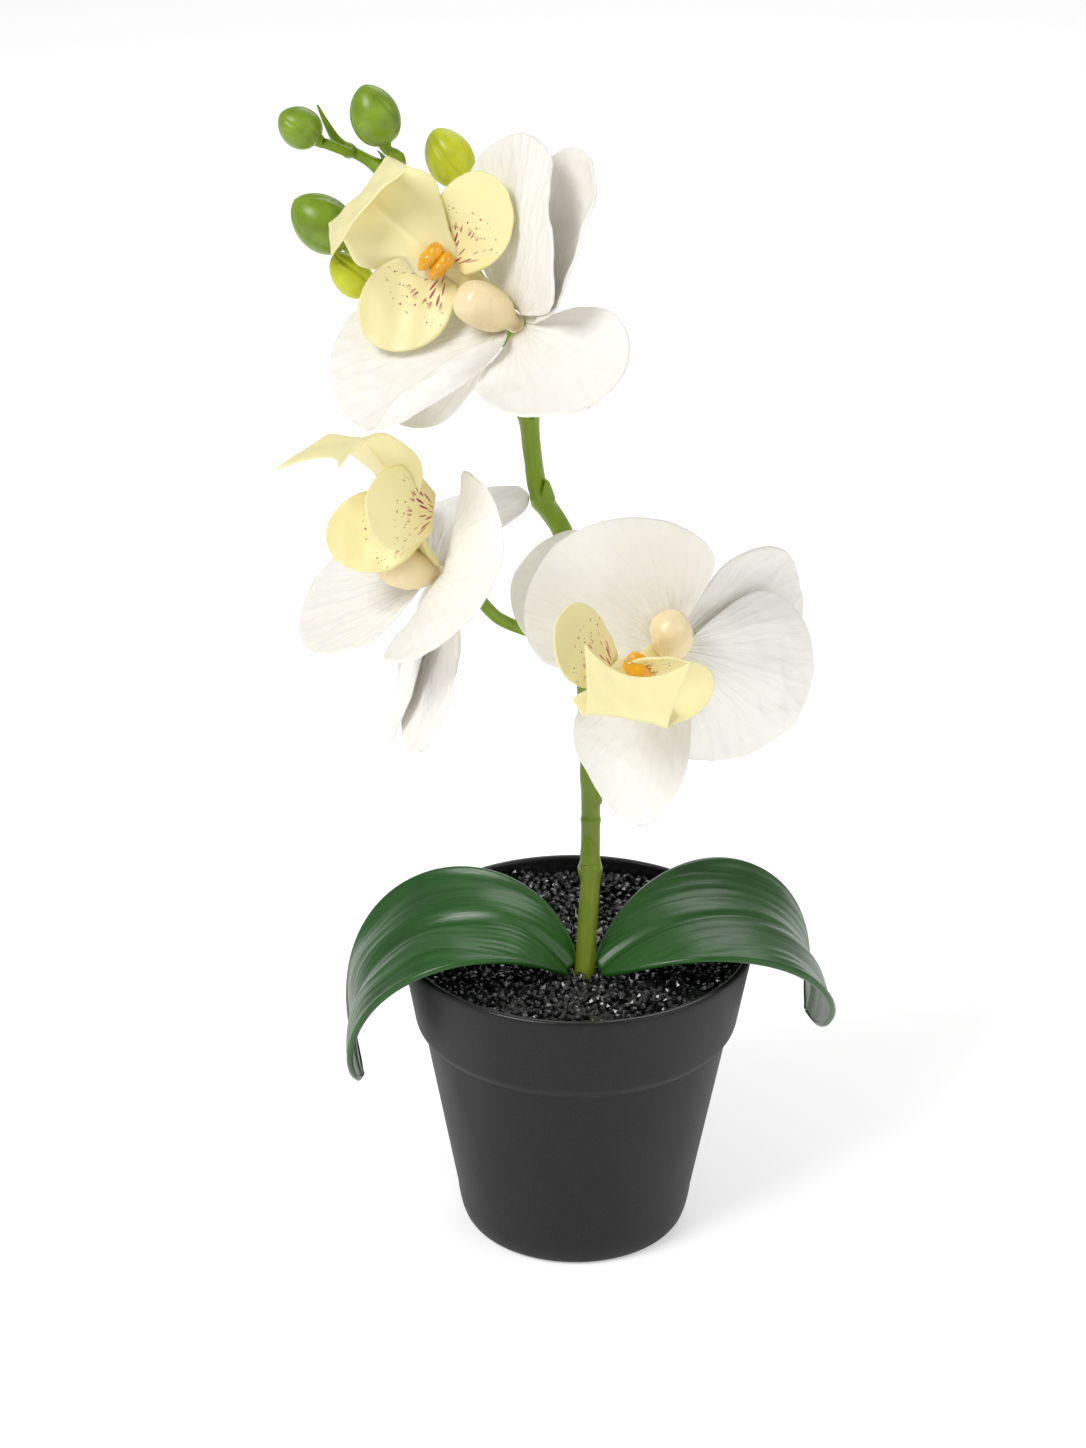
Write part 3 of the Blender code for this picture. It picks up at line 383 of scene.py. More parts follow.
def waxy_material(name, tint, spread, rough, scale_mm, **values):
    """Cast latex with a glossy skin: an even colour that is deeper in its hollows and lets light in."""
    made, tree, shader = new_material(name, IOR=1.47, Subsurface_Weight=0.25, Subsurface_Scale=0.0015,
                                      Subsurface_Radius=(1.0, 0.6, 0.2), **values)
    tone = blobs(tree, scale_mm, 3.0)
    body = add(tree, "ValToRGB", [tone], stops=[(0.3, shade(tint, spread)), (0.7, tuple(tint))])
    rough = add(tree, "Math", [tone, 0.16, rough], operation='MULTIPLY_ADD')
    finish_with(tree, shader, body, rough, tone, 0.1, 0.5)
    return made


def leaf_material(colours):
    """Polyethylene leaf, moulded with lengthwise ribs and painted: dark green, waxy, streaked a greyer green."""
    made, tree, shader = new_material("polyethylene_leaf_ribbed", IOR=1.5, Specular_IOR_Level=0.45,
                                      Coat_Weight=0.12, Coat_Roughness=0.25)
    streaks = streaky(tree, "sheet", (7.0, 0.45, 1.0), 5.0, 0.62)
    amount = add(tree, "Math", [streaks, blobs(tree, 16.0, 2.0)], operation='MULTIPLY')
    body = add(tree, "ValToRGB", [amount], stops=[(0.14, shade(colours.leaf, 0.72)), (0.25, tuple(colours.leaf)),
                                                  (0.50, tuple(colours.leaf_streak))])
    rough = add(tree, "ValToRGB", [streaks], stops=[(0.3, 0.24), (0.7, 0.42)])
    fine = streaky(tree, "sheet", (22.0, 1.2, 1.0), 4.0)
    finish_with(tree, shader, body, rough, fine, 0.12, 0.45)
    return made


def stem_material(colours):
    """Polyethylene sleeve over wire, moulded: waxy green, olive near the grit and fresher higher up."""
    made, tree, shader = new_material("polyethylene_stem", IOR=1.5, Subsurface_Weight=0.03,
                                      Subsurface_Radius=(0.6, 1.0, 0.2), Subsurface_Scale=0.001)
    rise = 0.12                  # metres over which the colour changes
    height = add(tree, "SeparateXYZ", [add(tree, "TexCoord", out="Object")], out=2)
    share = add(tree, "Math", [height, 1 / rise, -FOOT.z * MM / rise], operation='MULTIPLY_ADD')
    tone = blobs(tree, 3.0, 3.0, (1.0, 1.0, 0.35))
    place = add(tree, "Math", [tone, 0.3, share], operation='MULTIPLY_ADD')
    body = add(tree, "ValToRGB", [place], stops=[(0.05, tuple(colours.stem_low)),
                                                 (0.95, tuple(colours.stem_high))])
    patches = add(tree, "ValToRGB", [tone], stops=[(0.35, 0.35), (0.62, 0.0)])
    body = add(tree, "Mix", {"Factor": patches, 6: body, 7: shade(colours.stem_high, 0.62)}, out=2,
               data_type='RGBA')
    rough = add(tree, "Math", [tone, 0.2, 0.26], operation='MULTIPLY_ADD')
    finish_with(tree, shader, body, rough, tone, 0.12, 0.5)
    return made


# ---- meshes ---------------------------------------------------------------------------------
def ripple(seed, x, y, count=6):
    """A smooth, repeatable surface of about plus and minus one, with waves about one unit long."""
    draw = random.Random(seed)
    total = np.zeros_like(x)
    for _ in range(count):
        turn, phase, rate = draw.uniform(0, 2 * pi), draw.uniform(0, 2 * pi), draw.uniform(0.6, 1.5)
        total += np.sin(2 * pi * rate * (x * cos(turn) + y * sin(turn)) + phase)
    return total / count ** 0.5


def piece(name, points, faces, materials, uvs=None, face_slots=None):
    """A mesh object at the origin from points in millimetres and index faces."""
    mesh = bpy.data.meshes.new(name)
    mesh.from_pydata([tuple(p) for p in np.asarray(points) * MM], [], [tuple(f) for f in faces])
    for finish in materials:
        mesh.materials.append(finish)
    loops = np.zeros(len(mesh.loops), np.int32)
    mesh.loops.foreach_get("vertex_index", loops)
    for layer, values in (uvs or {}).items():
        mesh.uv_layers.new(name=layer).data.foreach_set("uv", np.asarray(values, np.float32)[loops].ravel())
    if face_slots is not None:
        mesh.polygons.foreach_set("material_index", np.asarray(face_slots, np.int32))
    mesh.shade_smooth()
    mesh.update()
    made = bpy.data.objects.new(name, mesh)
    bpy.context.scene.collection.objects.link(made)
    return made


def place_on_frame(made, node):
    """Rides on the body and stands for the CAD node, which it hides."""
    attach(made, "root")
    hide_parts(node)


def grid_faces(rows, columns, start=0, flip=False):
    index = np.arange(rows * columns).reshape(rows, columns) + start
    quads = np.stack([index[:-1, :-1], index[:-1, 1:], index[1:, 1:], index[1:, :-1]], -1).reshape(-1, 4)
    return quads[:, ::-1] if flip else quads


def normals_of(points):
    """Unit normals of a grid of points."""
    across, along = np.gradient(points, axis=1), np.gradient(points, axis=0)
    normal = np.cross(across, along)
    size = np.linalg.norm(normal, axis=2, keepdims=True)
    normal = normal / np.maximum(size, 1e-9)
    normal[-1] = normal[-2]
    return normal


def sheet_body(points, thickness, relief, uvs):
    """A closed sheet with a rounded rim: both faces of a grid, offset along its normals.

    Returns its points, faces and per-point UVs. The relief raises the front and dents the back.
    """
    rows, columns = points.shape[:2]
    normal = normals_of(points)
    centre = points + normal * relief[..., None]
    front = centre + normal * (thickness / 2)[..., None]
    back = centre - normal * (thickness / 2)[..., None]
    cells = np.arange(rows * columns).reshape(rows, columns)
    rim = np.concatenate([cells[0], cells[1:, -1], cells[-1, -2::-1], cells[-2:0:-1, 0]])
    flat = centre.reshape(-1, 3)
    inner = points.mean((0, 1))
    tangent = np.roll(flat[rim], -1, 0) - np.roll(flat[rim], 1, 0)
    out = np.cross(tangent, normal.reshape(-1, 3)[rim])
    out /= np.maximum(np.linalg.norm(out, axis=1, keepdims=True), 1e-9)
    if np.sum((flat[rim] - inner) * out) < 0:
        out = -out
    edge = flat[rim] + out * (thickness.reshape(-1)[rim] / 2)[:, None]
    count = rows * columns
    everything = np.concatenate([front.reshape(-1, 3), back.reshape(-1, 3), edge])
    faces = [grid_faces(rows, columns), grid_faces(rows, columns, count, flip=True)]
    following = np.roll(np.arange(len(rim)), -1)
    a, b = rim, rim[following]
    e, f = 2 * count + np.arange(len(rim)), 2 * count + following
    faces += [np.stack([a, e, f, b], 1), np.stack([e, a + count, b + count, f], 1)]
    layers = {name: np.concatenate([v.reshape(-1, 2), v.reshape(-1, 2), v.reshape(-1, 2)[rim]])
              for name, v in uvs.items()}
    return everything, np.concatenate(faces), layers


def join_bodies(bodies):
    """Several bodies of points, faces and UVs as one."""
    points, faces, layers, start = [], [], {}, 0
    for body in bodies:
        points.append(body[0])
        faces += [tuple(int(i) + start for i in face) for face in body[1]]
        for name, values in body[2].items():
            layers.setdefault(name, []).append(values)
        start += len(body[0])
    return np.concatenate(points), faces, {name: np.concatenate(v) for name, v in layers.items()}


def outward(faces, points):
    """The faces, turned over if they enclose a negative volume."""
    volume = 0.0
    for face in faces:
        first = points[face[0]]
        for one, two in zip(face[1:-1], face[2:]):
            volume += np.dot(first, np.cross(points[one], points[two]))
    return [tuple(reversed(face)) for face in faces] if volume < 0 else [tuple(face) for face in faces]


def curve_through(rows, spacing):
    """Points about one spacing apart on a smooth curve through rows of x, y, z and radius."""
    rows = [np.array(r, float) for r in rows]
    padded = [rows[0] * 2 - rows[1]] + rows + [rows[-1] * 2 - rows[-2]]
    smooth = []
    for before, start, end, after in zip(padded, padded[1:], padded[2:], padded[3:]):
        steps = max(2, round(float(np.linalg.norm(end[:3] - start[:3])) / spacing))
        for step in range(steps):
            t = step / steps
            smooth.append(0.5 * (2 * start + (end - before) * t
                                 + (2 * before - 5 * start + 4 * end - after) * t * t
                                 + (3 * start - before - 3 * end + after) * t ** 3))
    return np.array(smooth + [rows[-1]])


def tube_body(rows, sides, wobble, seed):
    """A closed tube through rows of x, y, z and radius, with slight hand-made unevenness."""
    spots, radii = rows[:, :3], np.maximum(rows[:, 3], 0.02)
    along = np.gradient(spots, axis=0)
    along /= np.linalg.norm(along, axis=1, keepdims=True)
    side = np.cross(along[0], (0.3, 0.9, 0.1))
    side /= np.linalg.norm(side)
    carried = []
    for way in along:
        side = side - way * np.dot(side, way)
        side /= np.linalg.norm(side)
        carried.append(side)
    side = np.array(carried)
    other = np.cross(along, side)
    turn = np.linspace(0, 2 * pi, sides, endpoint=False)
    travel = np.concatenate([[0], np.cumsum(np.linalg.norm(np.diff(spots, axis=0), axis=1))])
    uneven = 1 + wobble * ripple(seed, np.cos(turn)[None, :] + np.zeros((len(rows), 1)),
                                 travel[:, None] / 9 + np.sin(turn)[None, :])
    ring = (spots[:, None, :] + (side[:, None, :] * np.cos(turn)[None, :, None]
                                 + other[:, None, :] * np.sin(turn)[None, :, None])
            * (radii[:, None] * uneven)[..., None])
    points = np.concatenate([ring.reshape(-1, 3), [spots[0] - along[0] * radii[0] * 0.25],
                             [spots[-1] + along[-1] * radii[-1] * 0.35]])
    faces = []
    for row in range(len(rows) - 1):
        for k in range(sides):
            a, b = row * sides + k, row * sides + (k + 1) % sides
            faces.append((a, b, b + sides, a + sides))
    last = (len(rows) - 1) * sides
    for k in range(sides):
        faces.append((len(points) - 2, (k + 1) % sides, k))
        faces.append((len(points) - 1, last + k, last + (k + 1) % sides))
    uv = np.concatenate([np.stack([np.tile(turn * 0.4, len(rows)), np.repeat(travel / 10, sides)], 1),
                         [[0, 0], [0, travel[-1] / 10]]])
    return points, outward(faces, points), {"sheet": uv, "fan": uv}


# ---- blades: leaves, petals, sepals and lobes -------------------------------------------------
def half_width(v, pattern):
    """Share of the greatest half width at share v of the length."""
    widest, base = pattern["widest"], pattern["base"]
    rise = base + (1 - base) * np.sin(np.clip(v / widest, 0, 1) * pi / 2) ** pattern["shoulder"]
    fall = np.clip((v - widest) / (1 - widest), 0, 1)
    return np.where(v < widest, rise, np.maximum(0, 1 - fall ** 2) ** pattern["tip"])


def flower_axes(azimuth, elevation):
    """Facing direction, the flower's upward direction, and its right as seen from the front."""
    az, el = radians(azimuth), radians(elevation)
    facing = Vector((sin(az) * cos(el), -cos(az) * cos(el), sin(el)))
    up = (Vector((0, 0, 1)) - facing * facing.z).normalized()
    return facing, up, up.cross(facing)


def clock_axes(axes, clock):
    """Directions in the flower's own plane: along this hour, in degrees clockwise, and square to it."""
    _, up, right = axes
    angle = radians(clock)
    return up * cos(angle) + right * sin(angle), right * cos(angle) - up * sin(angle)


def bent_midline(origin, axes, pose, size):
    """Points, crosswise directions, normals and directions along a blade's bent middle."""
    facing = axes[0]
    out, across = clock_axes(axes, pose["clock"])
    point, last, rows = origin.copy(), None, []
    for step in range(MIDLINE_STEPS + 1):
        t = step / MIDLINE_STEPS
        rise = radians(pose["pitch"] + pose["bend"] * t ** pose.get("bend_power", 1.0))
        swing = radians(pose["sway"] * t)
        level = out * cos(rise) + facing * sin(rise)
        along = level * cos(swing) + across * sin(swing)
        side = across * cos(swing) - level * sin(swing)
        normal = facing * cos(rise) - out * sin(rise)
        turn = radians(pose["roll"] + pose["twist"] * t)
        if last is not None:
            point = point + (along + last) * (size / MIDLINE_STEPS / 2)
        last = along
        rows.append([*point, *(side * cos(turn) + normal * sin(turn)),
                     *(normal * cos(turn) - side * sin(turn)), *along])
    return np.array(rows)


def along_stations(stations, share):
    """The stations' rows, interpolated at shares from 0 to 1."""
    place = np.clip(share, 0, 1) * MIDLINE_STEPS
    index = np.minimum(place.astype(int), MIDLINE_STEPS - 1)
    part = (place - index)[..., None]
    rows = stations[index] * (1 - part) + stations[index + 1] * part
    return rows[..., 0:3], rows[..., 3:6], rows[..., 6:9], rows[..., 9:12]


def blade_grid(pattern, pose, origin, axes, columns, rows):
    """The bent middle surface of a blade, with how far each point is across and along, in millimetres."""
    stations = bent_midline(origin, axes, pose, pattern["length"])
    low = rows * 45 // 100
    v = np.concatenate([np.linspace(0, pattern["widest"], low, endpoint=False),
                        pattern["widest"] + (1 - pattern["widest"]) * np.sin(np.linspace(0, pi / 2, rows - low))])
    u = np.linspace(-1, 1, columns)
    u, v = np.meshgrid(u, v)
    wide = pattern["width"] / 2
    aside = wide * np.maximum(half_width(v, pattern), 0.012) * u
    share = v - pattern["fan"] * (aside / wide) ** 2 / pattern["length"]
    point, side, normal, along = along_stations(stations, share)
    curl = np.radians(np.where(u < 0, pose["curl_left"], pose["curl_right"]))
    curl = np.where(np.abs(curl) < 1e-3, 1e-3, curl)
    reach = np.abs(aside) / wide
    out, lift = np.sin(curl * reach) / curl, (1 - np.cos(curl * reach)) / curl
    back = np.minimum(share, 0) * pattern["length"]
    grid = (point + along * back[..., None] + side * (out * wide * np.sign(u))[..., None]
            + normal * (lift * wide)[..., None])
    return grid, u, v, aside, share * pattern["length"]


def fan_coordinates(aside, distance, hub=4.0):
    """Angle in radians and distance in centimetres from just behind a blade's narrow end."""
    return np.stack([np.arctan2(aside, distance + hub), np.hypot(aside, distance + hub) / 10], -1)


def scaled(pattern, scale):
    return {key: value * scale if key in ("length", "width", "fan") else value for key, value in pattern.items()}


def fold_margin(grid, u, v, width, angle, part=0.40):
    """Rolls this part of a blade's left half over its front, by the whole angle at the middle of its length."""
    share = np.clip((-u - (1 - part)) / part, 0, 1)
    turn = np.maximum(angle * np.sin(pi * np.clip(v / 0.97, 0, 1)) ** 0.5, 0.01)
    reach = part * width
    inward = reach * share - reach / turn * np.sin(turn * share)
    up = reach / turn * (1 - np.cos(turn * share))
    across = np.gradient(grid, axis=1)
    across /= np.maximum(np.linalg.norm(across, axis=2, keepdims=True), 1e-9)
    return grid + across * inward[..., None] + normals_of(grid) * up[..., None]


def petal_body(seed, pattern, pose, origin, axes, sizes, vein_rate, fold):
    grid, u, v, aside, distance = blade_grid(pattern, pose, origin, axes, 70, 76)
    if fold:
        grid = fold_margin(grid, u, v, np.abs(aside / np.where(u == 0, 1, u)), fold)
    fan = fan_coordinates(aside, distance)
    angle, reach = fan[..., 0], fan[..., 1]
    wander = angle + 0.05 * ripple(seed, aside / 14, distance / 14)
    vein = np.clip(np.cos(wander * vein_rate), 0, 1) ** 6
    margin = np.clip((1 - np.abs(u)) * 5, 0, 1) * np.clip((1 - v) * 8, 0, 1)
    height = sizes.vein_height / MM
    relief = height * vein * margin * np.clip(reach, 0, 1) + 0.28 * ripple(seed + 7, aside / 17, distance / 17)
    relief += 0.10 * ripple(seed + 3, aside / 6, distance / 6)
    relief += 0.55 * ripple(seed + 11, angle * 1.2, reach * 0.1) * np.clip(np.abs(u) - 0.55, 0, 1) * (reach / 3)
    relief -= 0.45 * np.exp(-(aside / 1.6) ** 2) * np.clip(1 - v * 1.15, 0, 1)
    thickness = np.full(u.shape, sizes.petal_thickness / MM)
    thickness *= 0.75 + 0.5 * (1 - margin)
    return sheet_body(grid, thickness, relief * np.clip(reach * 1.5, 0, 1), {"fan": fan})


# ---- lips -------------------------------------------------------------------------------------
def smooth_table(table, where):
    """A smooth curve through a table of place and value."""
    x, y = np.array(table, float).T
    slope = np.gradient(y, x)
    index = np.clip(np.searchsorted(x, where, side='right') - 1, 0, len(x) - 2)
    gap = x[index + 1] - x[index]
    t = np.clip((where - x[index]) / gap, 0, 1)
    a, b = y[index], y[index + 1]
    m, n = slope[index] * gap, slope[index + 1] * gap
    return ((2 * t ** 3 - 3 * t ** 2 + 1) * a + (t ** 3 - 2 * t ** 2 + t) * m
            + (3 * t ** 2 - 2 * t ** 3) * b + (t ** 3 - t ** 2) * n)


def lip_stations(origin, axes, lip, scale):
    """Stations along the lip's middle: claw, panel, fold and rolled end."""
    lengths = [part * scale for part in (CLAW_LENGTH, PANEL_LENGTH, END_LENGTH)]
    total, fold_at = sum(lengths), lengths[0] + lengths[1]
    step, rise = total / MIDLINE_STEPS, radians(lip["pitch"])
    point, rows = origin.copy(), []
    for index in range(MIDLINE_STEPS + 1):
        s = index * step
        turned_by = min(max((s / scale - CLAW_LENGTH) / LIP_TURN_LENGTH + 0.5, 0.0), 1.0)
        clock = lip["clock"] + (lip["panel_clock"] - lip["clock"]) * turned_by ** 2 * (3 - 2 * turned_by)
        out, across = clock_axes(axes, clock)
        along = out * cos(rise) + axes[0] * sin(rise)
        rows.append([*point, *across, *(axes[0] * cos(rise) - out * sin(rise)), *along])
        rate = lip["claw_bend"] / lengths[0] if s < lengths[0] else lip["panel_bend"] / lengths[1]
        if s > fold_at:
            rate = lip["end_bend"] / lengths[2]
        if abs(s - fold_at) < FOLD_LENGTH * scale / 2:
            rate += lip["fold"] / (FOLD_LENGTH * scale)
        rise += radians(rate) * step
        point = point + along * step
    return np.array(rows), total


def lip_middle(stations, total, scale, sizes, seed):
    rows, columns = 110, 44
    u, v = np.meshgrid(np.linspace(-1, 1, columns), np.linspace(0, 1, rows))
    end = END_LENGTH * scale
    slide = NOTCH_DEPTH * scale * np.clip(1 - (1 - v) * total / end, 0, 1)
    share = v - slide * (1 - u * u) / total
    point, side, normal, _ = along_stations(stations, share)
    width = smooth_table([(s * scale, w * scale) for s, w in LIP_WIDTHS], v * total)
    grid = point + side * (width * u)[..., None]
    s = v * total / scale
    cup = np.interp(s, [0, 17, 24, 37, 53], [0.0, 0.2, -1.6, -1.0, -0.8])
    grid = grid + normal * (cup * np.abs(u) ** 2.2)[..., None]
    keel = 0.5 * np.exp(-(u * width / 0.7) ** 2) * np.clip((s - 19) / 3, 0, 1) * np.clip((37 - s) / 5, 0, 1)
    relief = keel + 0.15 * ripple(seed, u * width / 9, s / 9)
    thickness = np.full(u.shape, sizes.lip_thickness / MM) * np.interp(s, [0, 17, 24, 53], [2.6, 2.0, 1.0, 0.8])
    thickness *= 1 - 0.35 * np.abs(u) ** 6
    uv = np.stack([u * width / 10, s / 10 + 0.8], -1)
    return sheet_body(grid, thickness, relief, {"fan": uv})


def ellipsoid_body(centre, directions, radii, rows, columns, shape=None):
    """A closed egg with its three directions as rows. The shape may change the reach in each direction."""
    polar, turn = np.meshgrid(np.linspace(0, pi, rows + 1)[1:-1], np.linspace(0, 2 * pi, columns, endpoint=False),
                              indexing='ij')
    unit = np.stack([np.sin(polar) * np.cos(turn), np.sin(polar) * np.sin(turn), np.cos(polar)], -1)
    reach = np.ones(polar.shape) if shape is None else shape(unit, polar, turn)
    local = unit * reach[..., None] * np.array(radii)
    poles = np.array([[0, 0, radii[2]], [0, 0, -radii[2]]])
    points = np.concatenate([local.reshape(-1, 3), poles]) @ np.array(directions) + np.array(centre)
    count, faces = len(points) - 2, []
    for row in range(rows - 2):
        for k in range(columns):
            a, b = row * columns + k, row * columns + (k + 1) % columns
            faces.append((a, a + columns, b + columns, b))
    last = (rows - 2) * columns
    for k in range(columns):
        faces.append((count, k, (k + 1) % columns))
        faces.append((count + 1, last + (k + 1) % columns, last + k))
    uv = np.concatenate([np.stack([turn, polar], -1).reshape(-1, 2), [[0, 0], [0, pi]]]) * 0.5
    return points, outward(faces, points), {"fan": uv, "sheet": uv}


def from_foot(offset):
    return FOOT + Vector(offset)


def stem_rows():
    """The stem's smooth route in place, with its radius in millimetres."""
    route = [(*from_foot((x, y, z)), STEM_RADIUS * r) for x, y, z, r in STEM_ROUTE]
    return curve_through(route, 1.1)


def start_on_stem(rows, height, towards, radius):
    """Points that start a branch inside the stem's side, and lead square out of it."""
    index = int(np.argmin(np.abs(rows[:, 2] - (GRIT_TOP + height))))
    spot, along = Vector(rows[index, :3]), Vector(rows[index, :3] - rows[index - 1, :3]).normalized()
    way = Vector(towards) - spot
    way = (way - along * way.dot(along)).normalized()
    reach = rows[index, 3]
    return [spot + way * (reach - 0.6), spot + way * (reach + 0.6), spot + way * (reach + radius)]


# ---- operators --------------------------------------------------------------------------------
class ORCHID_OT_pot(bpy.types.Operator):
    """Build the turned plastic pot"""
    bl_idname = "orchid.pot"
    bl_label = "Pot"

    def execute(self, context):
        colours = context.scene.orchid_colours
        top, rim = POT_HIGH.z, POT_HIGH.x
        band, body, foot, base = (rim - inset for inset in (BAND_INSET, BODY_INSET, FOOT_INSET, BASE_INSET))
        edge, step = top - BAND_DEPTH, top - STEP_DEPTH
        outer = [(rim - 0.9, top), (rim - 0.35, top - 0.1), (rim - 0.08, top - 0.4), (rim, top - 0.9),
                 (rim - 0.3, top - 2.6), (band + 0.12, edge + 1.4), (band - 0.02, edge + 0.5),
                 (band - 0.3, edge - 0.35), (band - 0.9, edge - 1.1), (band - 1.7, edge - 1.7),
                 (body + 0.22, step + 0.42), (body + 0.05, step + 0.2), (body, step - 0.1),
                 (body - 0.1, step - 0.8), (foot + 0.12, 9.6), (foot - 0.1, 7.6), (foot - 0.45, 5.4),
                 (foot - 0.95, 3.2), (foot - 1.6, 1.4), (foot - 2.2, 0.5), (base - 0.4, 0.08), (base - 1.0, 0.0)]
        inner = [(2.0, POT_FLOOR), (foot - POT_WALL - 1.8, POT_FLOOR), (foot - POT_WALL - 0.6, 3.4),
                 (foot - POT_WALL, 9.0), (body - POT_WALL - 0.4, step - 1.0), (band - POT_WALL, edge),
                 (rim - POT_WALL - 0.2, top - 1.0), (rim - POT_WALL - 0.05, top - 0.35),
                 (rim - POT_WALL + 0.15, top - 0.05)]
        profile = inner + outer + [(base - 1.6, 0.5), (base - 3.0, POT_RECESS), (2.0, POT_RECESS)]
        polished = len(inner) + 2            # the inner wall and the rim's rounding, up to the rim's outside
        turns = [2 * pi * k / POT_SIDES for k in range(POT_SIDES)]
        points = [(0.0, 0.0, POT_FLOOR)] + [(r * cos(t), r * sin(t), z) for r, z in profile for t in turns]
        points.append((0.0, 0.0, POT_RECESS))
        faces, slots = [], []
        for row in range(len(profile) - 1):
            for k in range(POT_SIDES):
                a, b = 1 + row * POT_SIDES + k, 1 + row * POT_SIDES + (k + 1) % POT_SIDES
                faces.append((a, a + POT_SIDES, b + POT_SIDES, b))
                slots.append(1 if row < polished else 0)
        last = 1 + (len(profile) - 1) * POT_SIDES
        for k in range(POT_SIDES):
            following = (k + 1) % POT_SIDES
            faces += [(0, 1 + k, 1 + following), (len(points) - 1, last + following, last + k)]
            slots += [1, 0]
        points = np.array(points)
        finishes = [pot_material(colours), pot_rim_material(colours)]
        made = piece("pot_fine", points, outward(faces, points), finishes, face_slots=slots)
        place_on_frame(made, "pot")
        return {'FINISHED'}


